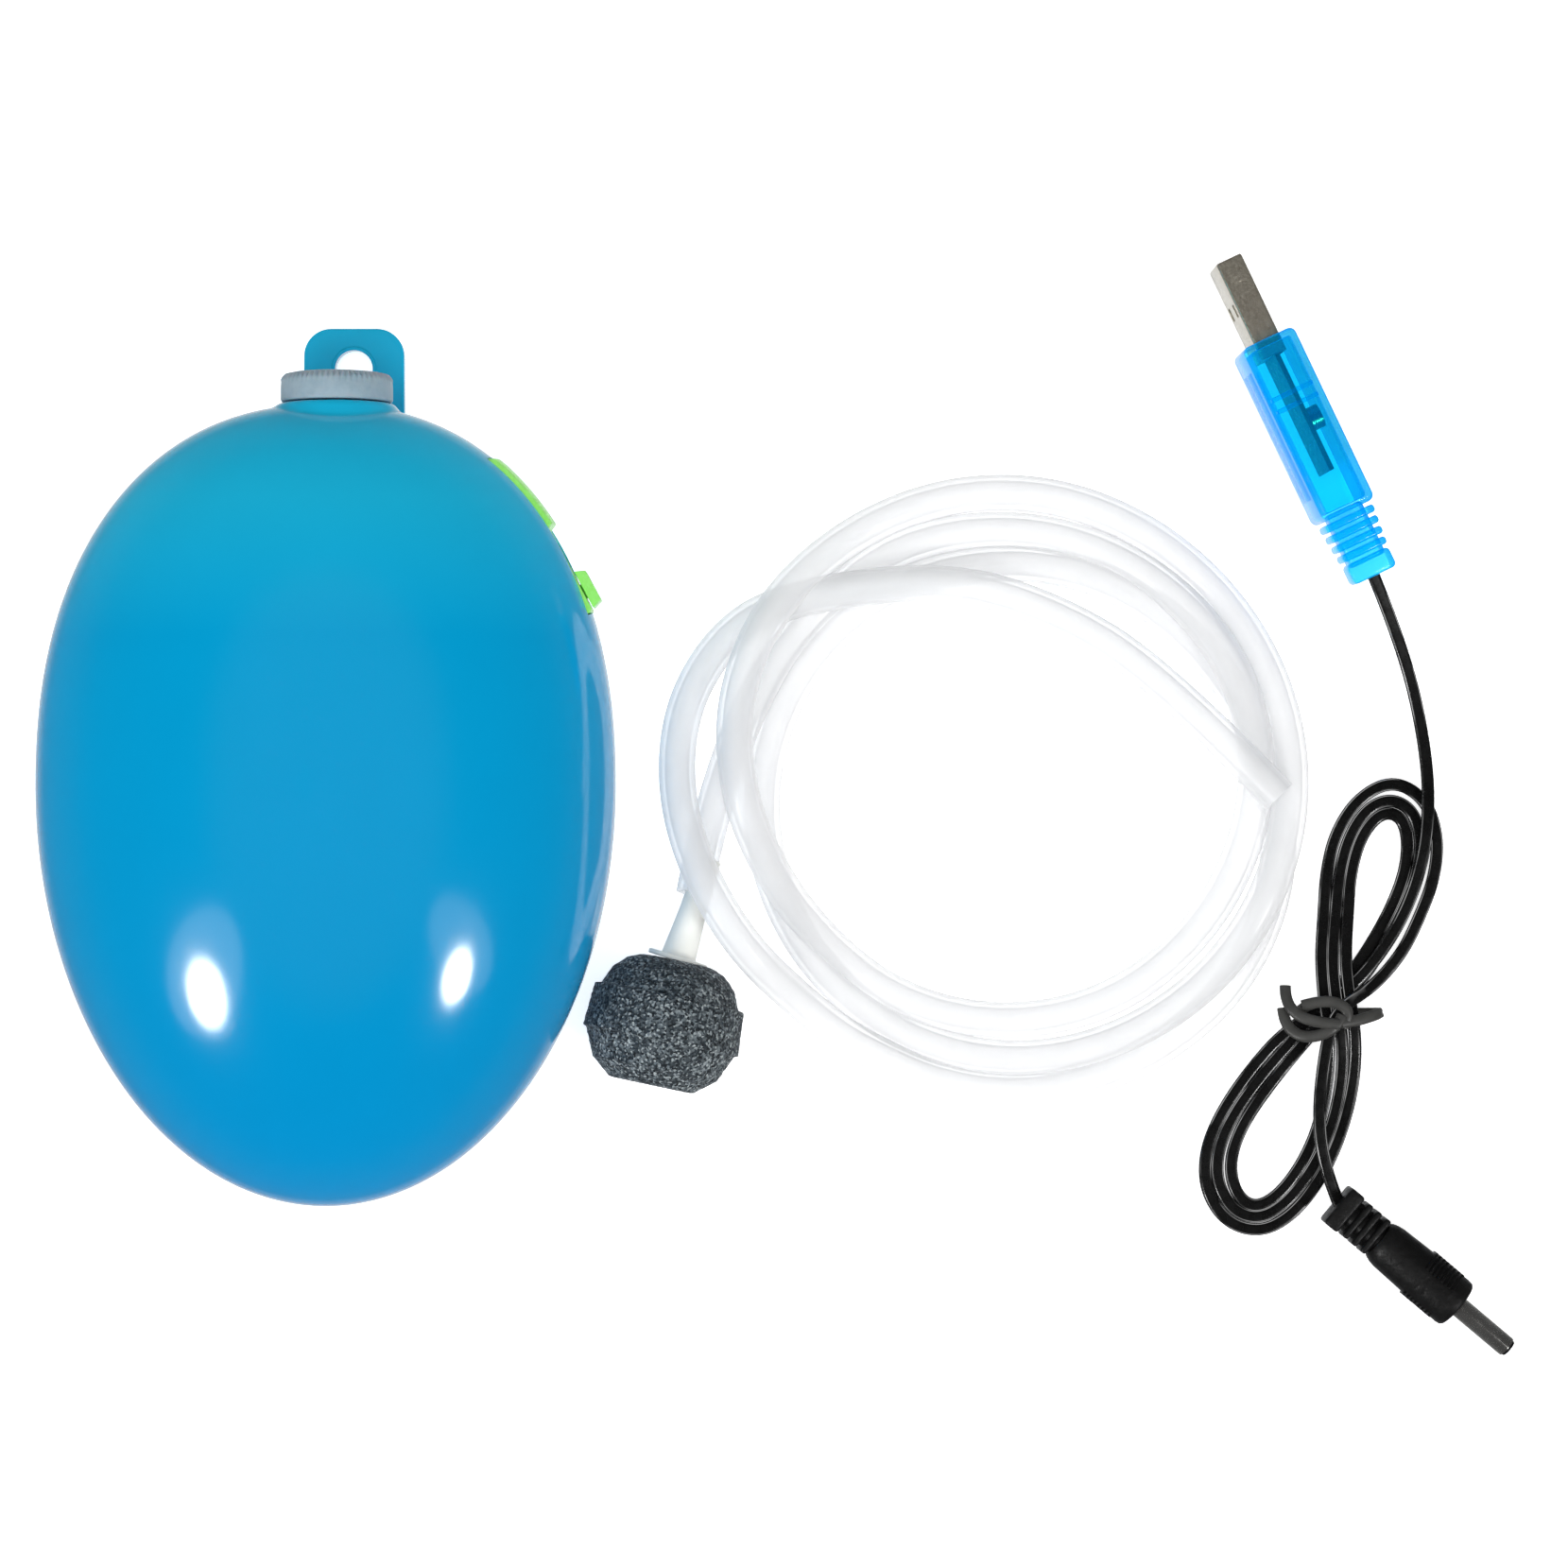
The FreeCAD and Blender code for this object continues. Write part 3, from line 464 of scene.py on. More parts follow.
MAT = {
    "blue": blue_shell(),
    "lime": grain("lime_moulding", (0.31, 0.95, 0.16), (0.38, 1.0, 0.20), (0.22, 0.34), 800,
                  0.00002, coat=0.3),
    "frost": frost_mat(),
    "acetal": grain("natural_acetal", (0.72, 0.72, 0.68), (0.82, 0.82, 0.78), (0.35, 0.5)),
    "black": set_specular(grain("black_moulding", grey(0.004), grey(0.010), (0.34, 0.55), 1000,
                                0.0003), 0.3),
    "rubber": grain("black_rubber", grey(0.012), grey(0.022), (0.55, 0.75), 700, 0.00003),
    "steel": grain("bright_steel", (0.50, 0.50, 0.51), (0.64, 0.64, 0.65), (0.16, 0.32), 500,
                   0.00001, metallic=1.0),
    "nickel": grain("nickel_plate", (0.66, 0.65, 0.62), (0.80, 0.79, 0.76), (0.12, 0.2), 700,
                    0.0, metallic=0.95),
    "plug": grain("plug_plating", (0.56, 0.50, 0.40), (0.90, 0.84, 0.70), (0.12, 0.26), 2200,
                  0.00003, metallic=0.80, mottle=2600.0),
    "brass": grain("brass_wire", (0.62, 0.40, 0.16), (0.76, 0.54, 0.26), (0.2, 0.35), 500,
                   0.00001, metallic=1.0),
    "ferrite": grain("ferrite", (0.035, 0.035, 0.04), (0.07, 0.07, 0.075), (0.6, 0.8), 900,
                     0.00005),
    "pcb": grain("board_mask", (0.008, 0.07, 0.035), (0.015, 0.11, 0.055), (0.25, 0.4), 1200,
                 0.00002),
    "white": grain("white_moulding", (0.84, 0.85, 0.80), (0.92, 0.92, 0.87), (0.3, 0.45), 700,
                   0.00002),
    "stone": stone_mat(),
    # painted light: the hose and the USB pieces glow by emission
    "hose": milky("clear_silicone", (0.88, 0.885, 0.895), (0.40, 0.84), painted_glow=0.09),
    "usb_blue": tinted("tinted_housing", (0.0, 0.31, 0.88), (0.35, 0.965, 1.0), (0.13, 0.97),
                       (0.06, 0.14), 0.28),
    "usb_deep": tinted("tinted_relief", (0.0, 0.43, 0.92), (0.32, 0.95, 1.0), (0.36, 0.97),
                       (0.1, 0.2), 0.20),
    "flex": flex_mat(),
    "tie": grain("tie_plastic", (0.03, 0.03, 0.029), (0.06, 0.06, 0.056), (0.3, 0.5), 500,
                 0.00004),
    "wrap": grain("cell_sleeve", (0.03, 0.035, 0.05), (0.05, 0.055, 0.075), (0.2, 0.35), 500,
                  0.00001, coat=0.3),
}


def finish_piece(obj, mat, slot, body, *nodes):
    obj.data.materials.clear()
    obj.data.materials.append(MAT[mat])
    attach(obj, body)
    if nodes:
        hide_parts(*nodes)
    return obj


# ---------------------------------------------------------------- cords
HOSE_RUN = [(58.4, -14.6, 11.6), (61.2, 0.5, 8.6), (70.2, 23.2, 3.4)]
HOSE_LOOP = [(78.0, -34.5, 8.0), (65.0, -21.8, 20.8), (56.0, -4.0, 16.4),
             (55.2, 13.5, 8.0), (62.0, 27.0, 4.2), (72.5, 34.0, 5.0)]
HOSE_TAIL = [(98.0, 37.4, 9.5), (116.4, 32.6, 10.5), (134.7, 21.5, 12.4), (153.9, 1.3, 14.6)]
LEAD_RUN = [(170.25, 37.65, 8.0), (176.0, 25.0, 4.6), (179.8, 8.0, 3.2), (180.0, -4.0, 3.4)]
LEAD_TAIL = [(163.0, -37.2, 6.2), (161.2, -50.0, 6.3), (162.3, -60.0, 5.6), (165.1, -66.5, 4.5)]

COIL_AT = (109.4, 1.5)
COIL_START = 120.0     # direction of the first point of the coil
COIL_SWEEP = 960       # degrees turned through, clockwise
COIL_STEP = 20
# radius every sixth of a turn, beginning half a sixth before the first point
COIL_RADIUS = [44.7, 44.1, 43.2, 39.1, 37.0, 38.0, 48.7, 50.6, 48.2, 45.6, 43.6, 40.8, 39.0,
               38.2, 40.9, 49.2, 49.1, 45.1]
# where the hose rides over another turn: degrees from the start, height, half width in degrees
COIL_HUMPS = [(105, 10.2, 56), (313, 12.6, 64), (487, 10.0, 70), (975, 6.5, 40)]
HOSE_LAY = 3.0


def coil_point(sweep_angle):
    k = 0.5 + sweep_angle / 60.0
    i = min(int(k), len(COIL_RADIUS) - 2)
    r = COIL_RADIUS[i] + (COIL_RADIUS[i + 1] - COIL_RADIUS[i]) * (k - i)
    r /= math.cos(math.radians(COIL_STEP / 2))
    z = HOSE_LAY
    for centre, top, width in COIL_HUMPS:
        d = abs(sweep_angle - centre)
        if d < width:
            z += (top - HOSE_LAY) * math.cos(math.pi / 2 * d / width) ** 2
    a = math.radians(COIL_START - sweep_angle)
    return (COIL_AT[0] + r * math.cos(a), COIL_AT[1] + r * math.sin(a), z)


def hose_route():
    pts = list(HOSE_RUN)
    for sweep_angle in range(0, COIL_SWEEP + 1, COIL_STEP):
        pts.append(coil_point(sweep_angle))
    return pts + HOSE_LOOP + HOSE_TAIL


hose_line = nurbs_points(hose_route(), 12)


HOSE_R, HOSE_BORE, HOSE_SIDES = 3.0, 2.0, 32


def hose_mesh():
    n = HOSE_SIDES
    outer = circle(HOSE_R, n)
    inner = circle(HOSE_BORE, n)
    frames = flat_frames(hose_line)
    verts = []
    for sec in (outer, inner):
        for p, (t, s, u) in zip(hose_line, frames):
            verts += [p + s * a + u * b for a, b in sec]
    count = len(hose_line)
    faces = rings_to_faces(count, n) + [f[::-1] for f in rings_to_faces(count, n, offset=count * n)]
    for end in (0, count - 1):
        for j in range(n):
            a, b = end * n + j, end * n + (j + 1) % n
            faces.append((a, b, b + count * n, a + count * n))
    return mesh_from("air_hose", verts, faces)


hose = link("air_hose", hose_mesh(), sharp=60)

STRAND_GAP = 2.1
OUTER_SLACK = 0.9      # the last turn stands further out at the top right
HANK = [  # middle strand: x, y, sideways x, sideways y, height
    (158.3, -38.4, 0.7, -0.5, 1.2), (153.1, -44.3, 0.8, -0.6, 1.1), (147.9, -51.5, 0.85, -0.5, 1.1),
    (145.2, -57.8, 1.0, -0.2, 1.1), (145.3, -63.5, 1.0, 0.3, 1.1), (148.0, -67.8, 0.6, 0.8, 1.1),
    (152.2, -69.0, -0.1, 1.0, 1.1), (156.5, -66.6, -0.6, 0.8, 1.1), (160.6, -61.4, -0.85, 0.5, 1.1),
    (163.6, -55.2, -0.9, 0.35, 1.1), (165.3, -48.6, -1.0, 0.2, 1.3), (165.9, -42.4, -1.0, 0.1, 2.2),
    (165.5, -37.0, -1.0, 0.0, 3.4), (164.6, -31.6, -1.0, 0.0, 3.4), (164.2, -25.4, -1.0, 0.1, 2.2),
    (164.8, -18.4, -1.0, 0.1, 1.3), (165.3, -11.4, -1.0, 0.1, 1.1), (166.9, -5.2, -0.95, 0.3, 1.1),
    (170.0, -0.6, -0.6, 0.8, 1.1), (174.0, 1.0, 0.1, 1.0, 1.1), (177.6, -1.0, 0.7, 0.7, 1.1),
    (179.0, -5.8, 1.0, 0.2, 1.1), (178.4, -11.6, 1.0, -0.2, 1.1), (176.1, -17.6, 0.9, -0.4, 1.1),
    (173.1, -23.4, 0.9, -0.45, 1.1), (169.3, -29.2, 0.8, -0.5, 1.1), (164.2, -34.2, 0.75, -0.6, 1.1),
]


def lead_route():
    pts = list(LEAD_RUN)
    pts += [(178.0, -14.0, 2.5), (173.6, -23.0, 2.4), (167.0, -31.0, 2.3)]
    for turn in range(3):
        for i, (x, y, nx, ny, z) in enumerate(HANK):
            if turn == 2 and i == len(HANK) - 1:
                continue
            off = (turn - 1) * STRAND_GAP + 0.12 * math.sin(i * 0.9 + turn * 2.1)
            if turn == 2 and x > 172:
                off += OUTER_SLACK
            pts.append((x + nx * off, y + ny * off, z + 0.15 * turn))
    pts += [(165.4, -33.2, 6.0)]
    return pts + LEAD_TAIL


lead_line = nurbs_points(lead_route(), 8)
CORE_R, CORE_OFF = 0.54, 0.52   # two round cores side by side
section = []
for side, start in ((1, -100), (-1, 80)):
    for k in range(9):
        a = math.radians(start + 200 * k / 8)
        section.append((side * CORE_OFF + CORE_R * math.cos(a), CORE_R * math.sin(a)))
lead = link("charging_lead", sweep("charging_lead", lead_line, section), sharp=60)


# ---------------------------------------------------------------- the egg
EGG_Y, HALF_W, LEN_TOP, LEN_TAIL = 3.0, 46.2, 61.0, 67.0
TOP_POWER = 2.25
TOP_X = 1.7   # knob, collar and tab sit a little off the middle
FRONT_T, REAR_T, SEAM_Z, WALL = 29.5, 31.0, 29.0, 2.0
COLLAR_R, COLLAR_BLEND, COLLAR_Y = 10.4, 1.5, 64.0   # flat face under the knob
ROLL, ROLL_WIDTH, SEAM_GAP = 0.28, 0.006, 0.12       # rounded rims that meet at the seam
REST_SOFT = 0.3


def egg_point(lat, phi, inset, depth):
    c, s = math.cos(lat), math.sin(lat)
    if s < 0:
        w, y = (HALF_W - inset) * c, EGG_Y + (LEN_TAIL - inset) * s
    else:
        p = 2.0 / TOP_POWER
        w, y = (HALF_W - inset) * max(c, 0.0) ** p, EGG_Y + (LEN_TOP - inset) * s ** p
    k = (depth - inset) / (HALF_W - inset)
    return [w * math.cos(phi), y, SEAM_Z + k * w * math.sin(phi)]


def latitudes():
    lats = [math.radians(-90 + i * 1.6) for i in range(0, 95)]
    top = [math.radians(62 + i * 0.55) for i in range(0, 51)]
    return lats + top + [math.radians(90)]


def on_collar(p):
    """Pulls a point near the knob onto the flat collar face."""
    rho = math.hypot(p[0] - TOP_X, p[2] - SEAM_Z)
    if rho < COLLAR_R:
        t = min(1.0, max(0.0, (COLLAR_R - rho) / COLLAR_BLEND))
        t = t * t * (3 - 2 * t)
        p[1] = p[1] + (COLLAR_Y - p[1]) * t


def on_rest_face(p, low):
    """Flattens the back at the height low, with a soft edge."""
    d = p[2] - low
    p[2] = low + (d + math.sqrt(d * d + REST_SOFT)) / 2 if d < 3 else p[2]
    p[2] = max(p[2], low)


def egg_half(name, front):
    """The outer and inner surface of one half, joined along the seam."""
    depth = FRONT_T if front else REAR_T
    lats = latitudes()
    phis = [i / 110.0 for i in range(111)]
    verts, faces = [], []
    for layer in (0, 1):
        inset = WALL * layer
        for lat in lats:
            for f in phis:
                phi = math.pi * f if front else math.pi + math.pi * f
                edge = min(f, 1 - f)
                roll = ROLL * max(0.0, 1 - edge / ROLL_WIDTH) ** 2 if not layer else 0.0
                p = egg_point(lat, phi, inset + roll, depth)
                if not layer and lat > 1.0:
                    on_collar(p)
                if not front:
                    on_rest_face(p, inset)
                if edge < 1e-9:
                    p[2] = SEAM_Z + (SEAM_GAP if front else 0.0)
                verts.append(p)
    n, m = len(lats), len(phis)
    for layer in (0, 1):
        off = layer * n * m
        for i in range(n - 1):
            for j in range(m - 1):
                a = off + i * m + j
                faces.append((a, a + 1, a + 1 + m, a + m))
    for i in range(n - 1):
        for j in (0, m - 1):
            a = i * m + j
            b = a + n * m
            faces.append((a, a + m, b + m, b))
    return link(name, mesh_from(name, verts, faces), sharp=40)


SW = math.radians(118.2)   # direction the slider travels in
TRACK_N, TRACK_END = 52.3, 22.0   # flat under the slider
PLATE_H = 4.6
FLANK = Matrix.Translation(Vector((0, 0, SEAM_Z))) @ Matrix.Rotation(SW, 4, "Z")


def flank_block(name, s, n, h, bevel=0.0):
    return block(name, (s, (-n[1], -n[0]), (-h, h)), FLANK, bevel)


front = egg_half("dome_shell", True)
cut_with(front, flank_block("zone", (6.75, 36.25), (30, 70), PLATE_H + 0.25))
rear = egg_half("back_shell", False)
cut_with(rear, flank_block("zone", (6.98, 36.02), (30, 70), PLATE_H + 0.02))


def along_y(x, y, z):
    return Matrix.Translation((x, y, z)) @ Matrix.Rotation(math.pi / 2, 4, "Z")


jack_hole = turned_profile("jack_hole", [(0, 3.05), (14, 3.05)], along_y(14, -61, 20), 40)
cut_with(rear, link("jack_hole", jack_hole))


TAB_CORNER = 4.5
TAB_END = 79.0
TAB_HALF = 8.3
HANG_Y = 72.3
LIP_R, LIP_ROLL, LIP_Z = 3.45, 0.33, 2.5   # raised ring round the hang hole


def hole_lip():
    rings = []
    for k in range(48):
        a = 2 * math.pi * k / 48
        ring = []
        for q in range(10):
            b = 2 * math.pi * q / 10
            r = LIP_R + LIP_ROLL * math.cos(b)
            ring.append(Vector((TOP_X + math.cos(a) * r, HANG_Y + math.sin(a) * r,
                                LIP_Z + LIP_ROLL * math.sin(b))))
        rings.append(ring)
    return link("lip", tube_mesh("lip", rings, closed_rings=True))


def hang_tab():
    pts = []
    centre_y = TAB_END - TAB_CORNER
    for cx, a0 in ((TOP_X + TAB_HALF - TAB_CORNER, 0), (TOP_X - TAB_HALF + TAB_CORNER, 90)):
        for k in range(13):
            a = math.radians(a0 + 90 * k / 12)
            pts.append((cx + TAB_CORNER * math.cos(a), centre_y + TAB_CORNER * math.sin(a)))
    pts += [(TOP_X - 8.5, 40.0), (TOP_X - 8.6, 18.0), (TOP_X + 8.6, 18.0), (TOP_X + 8.5, 40.0)]
    tab = prism("hang_tab", pts, 0.0, 2.6, bevel=0.35)
    upright = Matrix.Translation((TOP_X, HANG_Y, 0)) @ Matrix.Rotation(-math.pi / 2, 4, "Y")
    hole = turned_profile("hole", [(-2, 3.12), (6, 3.12)], upright, 48)
    cut_with(tab, link("hole", hole))
    ring = hole_lip()
    side = [(30.0, 1.2), (34.0, 2.1), (40.0, 3.7), (45.0, 5.6), (50.0, 8.0),
            (54.0, 10.5), (58.0, 13.8), (61.0, 1.2)]
    place = Matrix(((0, 0, 1, 0), (1, 0, 0, 0), (0, 1, 0, 0), (0, 0, 0, 1)))
    rib = prism("rib", side, TOP_X - 1.5, TOP_X + 1.5, place, bevel=0.3)
    return [tab, ring, rib]


NOZZLE = [(-43.0, 1.3), (-43.0, 2.0), (-50.0, 2.0), (-50.0, 3.4), (-56.3, 3.4), (-56.5, 3.2),
          (-56.5, 2.0), (-57.0, 2.0), (-57.0, 2.2), (-57.1, 2.25), (-62.6, 2.25), (-63.0, 1.95),
          (-63.0, 1.3), (-50.0, 1.25)]
NOZZLE_Z = 11.6
nozzle = turned_profile("nozzle", NOZZLE, along_y(0, 0, NOZZLE_Z), 40)
nozzle = link("nozzle", nozzle, sharp=50)
rear = join("back_shell", [rear, nozzle] + hang_tab())
for p in rear.data.polygons:
    p.use_smooth = True
rear.data.set_sharp_from_angle(angle=math.radians(38))
finish_piece(front, "blue", "shell_blue", "front", "front_shell")
finish_piece(rear, "blue", "shell_blue", "base", "rear_shell")


def flank_at(s, z, inset, depth):
    """How far out the egg's surface lies at s along the slider's way and at height z."""
    zz = (z - SEAM_Z) / (depth - inset)
    ring = math.sqrt(max(0.0, 1 - zz * zz))
    lo, hi = 20.0, 60.0
    for _ in range(30):
        n = (lo + hi) / 2
        x = s * math.cos(SW) + n * math.sin(SW)
        y = s * math.sin(SW) - n * math.cos(SW)
        if y > EGG_Y:
            v = ((abs(x) / (HALF_W - inset)) ** TOP_POWER
                 + ((y - EGG_Y) / (LEN_TOP - inset)) ** TOP_POWER)
            inside = (v + 1e-9) ** (1 / TOP_POWER) < ring
        else:
            v = (x / (HALF_W - inset)) ** 2 + ((y - EGG_Y) / (LEN_TAIL - inset)) ** 2
            inside = v ** 0.5 < ring
        if inside:
            lo = n
        else:
            hi = n
    return lo


def surface_strip(name, s0, s1, h, proud):
    """The lime plate: a strip that follows the flank, with rolled edges."""
    rows, cols = 72, 32
    verts, faces = [], []
    for layer in (0, 1):
        for i in range(rows + 1):
            for j in range(cols + 1):
                s = s0 + (s1 - s0) * i / rows
                z = SEAM_Z - h + 2 * h * j / cols
                edge = min(s - s0, s1 - s, z - (SEAM_Z - h), SEAM_Z + h - z)
                roll = 0.45 * max(0.0, 1 - edge / 0.55) ** 2
                depth = FRONT_T if z >= SEAM_Z else REAR_T
                inset = (-proud + roll) if not layer else WALL
                n = flank_at(s, z, inset, depth)
                if not layer and s < TRACK_END:
                    n = min(n, TRACK_N)
                verts.append((s * math.cos(SW) + n * math.sin(SW), s * math.sin(SW) - n * math.cos(SW), z))
    m = cols + 1
    size = (rows + 1) * m
    for layer in (0, 1):
        for i in range(rows):
            for j in range(cols):
                a = layer * size + i * m + j
                faces.append((a, a + 1, a + m + 1, a + m))
    for i in range(rows):
        for j in (0, cols):
            a = i * m + j
            faces.append((a, a + m, a + m + size, a + size))
    for j in range(cols):
        for i in (0, rows):
            a = i * m + j
            faces.append((a, a + 1, a + 1 + size, a + size))
    return link(name, mesh_from(name, verts, faces), sharp=40)


plate = surface_strip("lime_plate", 7.0, 36.0, PLATE_H, 0.6)
cut_with(plate, flank_block("slot", (9.1, 18.1), (40, 60), 1.5))
finish_piece(plate, "lime", "lime", "base", "switch_plate")


def slider():
    pts = [(7.5, -52.55), (14.0, -52.55), (13.3, -54.25), (8.1, -54.25)]
    cap = prism("cap", pts, -3.4, 3.4, FLANK, bevel=0.15, segs=2)
    stem = flank_block("stem", (9.4, 11.8), (47.4, 52.7), 1.2, 0.1)
    return join("switch_thumb", [cap, stem])


finish_piece(slider(), "lime", "lime", "slider", "switch_slider")


# ---------------------------------------------------------------- knob
KNOB_TEETH = 60
TOOTH_DEPTH = 0.3


def knob():
    """Turned about y, with small notches round the far rim."""
    n = KNOB_TEETH * 6
    prof = [(64.3, 0.0), (64.3, 8.5), (64.4, 8.8), (64.7, 8.92), (66.6, 8.92), (67.5, 8.86),
            (67.9, 8.62), (68.3, 8.4), (68.7, 8.0), (68.92, 7.3), (68.98, 6.7), (68.8, 6.5),
            (68.82, 5.0), (68.9, 2.5), (68.92, 0.0)]
    rings = []
    for y, r in prof:
        ring = []
        for j in range(n):
            a = 2 * math.pi * j / n
            tooth = 0.5 + 0.5 * math.cos(a * KNOB_TEETH)
            amp = TOOTH_DEPTH if 67.8 < y < 68.8 and r > 7.9 else 0.0
            rr = r + amp * tooth
            dip = TOOTH_DEPTH * (1.0 - tooth) if r > 7.2 and y > 68.2 else 0.0
            ring.append(Vector((TOP_X + rr * math.cos(a), y - dip, SEAM_Z + rr * math.sin(a))))
        rings.append(ring)
    verts = [p for r in rings for p in r]
    return link("flow_knob", mesh_from("flow_knob", verts, rings_to_faces(len(rings), n)), sharp=60)


finish_piece(knob(), "frost", "knob_frost", "knob", "air_knob")


# ---------------------------------------------------------------- air stone
def aimed(at, turn, tip=0.0):
    """Local x towards the given direction in plan, its tip lowered by tip degrees."""
    place = Matrix.Translation(at) @ Matrix.Rotation(math.radians(turn), 4, "Z")
    return place @ Matrix.Rotation(math.radians(tip), 4, "Y") if tip else place


STONE = aimed((53.5, -35.7, 13.0), 78.1, 4.6)


def stone():
    key = [(-10.3, 0.0), (-10.3, 6.6), (-10.15, 7.2), (-7.6, 10.4), (-3.1, 12.4), (-2.9, 12.9),
           (-2.7, 13.0), (4.1, 12.5), (4.3, 12.35), (4.45, 11.5), (7.4, 10.2), (9.4, 8.2),
           (10.2, 6.2), (10.3, 5.7), (10.3, 0.0)]
    prof = []
    for (x0, r0), (x1, r1) in zip(key, key[1:]):
        steps = max(1, int(math.hypot(x1 - x0, r1 - r0) / 0.45))
        for k in range(steps):
            t = k / steps
            prof.append((x0 + (x1 - x0) * t, r0 + (r1 - r0) * t))
    prof.append(key[-1])
    segs = 150
    rings = []
    for x, r in prof:
        ring = []
        for j in range(segs):
            a = 2 * math.pi * j / segs
            p = Vector((x, r * math.cos(a), r * math.sin(a)))
            d = 0.16 * (noise.noise(p * 1.6) + 0.6 * noise.noise(p * 3.7))
            q = p + Vector((0, math.cos(a), math.sin(a))) * (d - 0.08) * min(1.0, r / 2.0)
            q.x += 0.1 * noise.noise(p * 2.1)
            ring.append(STONE @ q)
        rings.append(ring)
    verts = [p for r in rings for p in r]
    return link("bubble_stone", mesh_from("bubble_stone", verts, rings_to_faces(len(rings), segs)), sharp=0)


air_stone = finish_piece(stone(), "stone", "stone", "base", "air_stone")
NIP = aimed((55.6, -25.6, 12.2), 72.4, 3.0)
NIP_PROFILE = [(0.0, 1.1), (0.0, 4.8), (0.15, 4.95), (0.65, 4.95), (0.8, 4.8), (0.85, 2.95),
               (1.1, 2.85), (9.0, 2.25), (9.3, 2.25), (17.2, 1.98), (17.5, 1.8), (17.5, 1.1),
               (1.0, 1.05)]
nip = turned_profile("stone_stem", NIP_PROFILE, NIP, 48)
nip = finish_piece(link("stone_stem", nip, sharp=40), "white", "white_plastic", "base", "stone_nipple")

# ---------------------------------------------------------------- USB plug
USB = aimed((151.9, 76.2, 8.0), 115.46)
# along the plug, and how far the section is grown there: outside, lip, inside
SLEEVE = [(-3.0, 0.0), (14.0, 0.0), (14.25, -0.06), (14.4, -0.2), (14.4, -0.3), (13.9, -0.32),
          (-2.5, -0.32)]


def usb_metal():
    rings = []
    for x, grow in SLEEVE:
        ring = []
        r = 0.55 + max(grow, -0.3)
        hy, hz = 2.25 + grow - r, 6.0 + grow - r
        for cy, cz, a0 in ((hy, hz, 0), (-hy, hz, 90), (-hy, -hz, 180), (hy, -hz, 270)):
            for k in range(7):
                a = math.radians(a0 + 90 * k / 6)
                ring.append(USB @ Vector((x, cy + r * math.cos(a), cz + r * math.sin(a))))
        rings.append(ring)
    n = len(rings[0])
    verts = [p for r in rings for p in r]
    return link("usb_metal", mesh_from("usb_metal", verts, rings_to_faces(len(rings), n)), sharp=40)


usb_shell = usb_metal()
modified(usb_shell, ("SOLIDIFY", {"thickness": 0.0001}))
for z in (-3.0, 3.0):
    cut_with(usb_shell, block("port", ((5.2, 7.4), (-3, 3), (z - 1.1, z + 1.1)), USB, 0))
seam = block("seam", ((10.2, 12.2), (-0.9, 0.9), (5.86, 6.06)), USB, 0.08, 2)
usb_shell = join("usb_metal", [usb_shell, seam])
for p in usb_shell.data.polygons:
    p.use_smooth = True
usb_shell.data.set_sharp_from_angle(angle=math.radians(40))
finish_piece(usb_shell, "plug", "nickel", "base", "usb_shell")


def usb_case():
    outer = block("case", ((-31.2, 0.0), (-4.65, 4.65), (-8.0, 8.0)), USB, 1.15, 5)
    cut_with(outer, block("inside", ((-30.2, -1.1), (-3.6, 3.6), (-6.9, 6.9)), USB, 0.5, 2))
    cut_with(outer, block("mouth", ((-4.0, 1.0), (-2.25, 2.25), (-6.0, 6.0)), USB, 0))
    pad = block("pad", ((-27.0, -4.0), (4.55, 4.65), (-5.2, 5.2)), USB, 0.04, 2)
    ribs = []
    for x in (-10.0, -12.1):
        ribs.append(block("rib", ((x, x + 0.7), (-3.62, 3.62), (4.2, 6.95)), USB, 0.1, 1))
    return join("usb_case", [outer, pad] + ribs)


usb_case = finish_piece(usb_case(), "usb_blue", "usb_blue", "base", "usb_housing")


def usb_boot():
    parts = [block("core", ((-40.0, -30.4), (-3.1, 3.1), (-2.9, 2.9)), USB, 0.7, 3)]
    parts.append(block("end", ((-42.7, -39.2), (-3.8, 3.8), (-3.5, 3.5)), USB, 0.8, 4))
    for i in range(4):
        x = -31.8 - 1.85 * i
        w = 4.35 - 0.15 * i
        parts.append(block("rib", ((x - 1.3, x), (-w, w), (-w, w)), USB, 0.5, 4))
    return join("usb_boot", parts)


usb_boot = finish_piece(usb_boot(), "usb_deep", "usb_blue", "base", "usb_relief")


# ---------------------------------------------------------------- DC plug
DC = aimed((193.1, -90.1, 4.5), -40.1)
GRIPS, GRIP_PITCH, GRIP_T = 8, 0.78, 0.42   # cross ridges on each side
BODY = [(-28.3, 0.5), (-28.3, 3.2), (-27.9, 3.5), (-27.1, 3.8), (-26.0, 3.98), (-21.0, 4.15),
        (-14.4, 4.35), (-12.4, 4.42), (-11.6, 4.3), (-11.35, 4.05), (-11.3, 3.8), (-11.3, 1.31),
        (-17.0, 1.31)]


def dc_case():
    parts = [link("body", turned_profile("body", BODY, DC, 56), sharp=40)]
    for side in (1, -1):
        for k in range(GRIPS):
            x = -19.6 + k * GRIP_PITCH
            reach = (side * 4.2 - 0.3, side * 4.2 + 0.3)
            parts.append(block("grip", ((x, x + GRIP_T), reach, (-1.9, 1.9)), DC, 0.12, 2))
    facet = DC @ Matrix.Rotation(math.radians(-38.0), 4, "X")
    for k in range(GRIPS):
        x = -19.8 + k * GRIP_PITCH
        parts.append(block("grip", ((x, x + GRIP_T), (-1.7, 1.7), (3.95, 4.4)), facet, 0.12, 2))
    return join("dc_case", parts)


dc_body = finish_piece(dc_case(), "black", "black_plastic", "base", "dc_body")


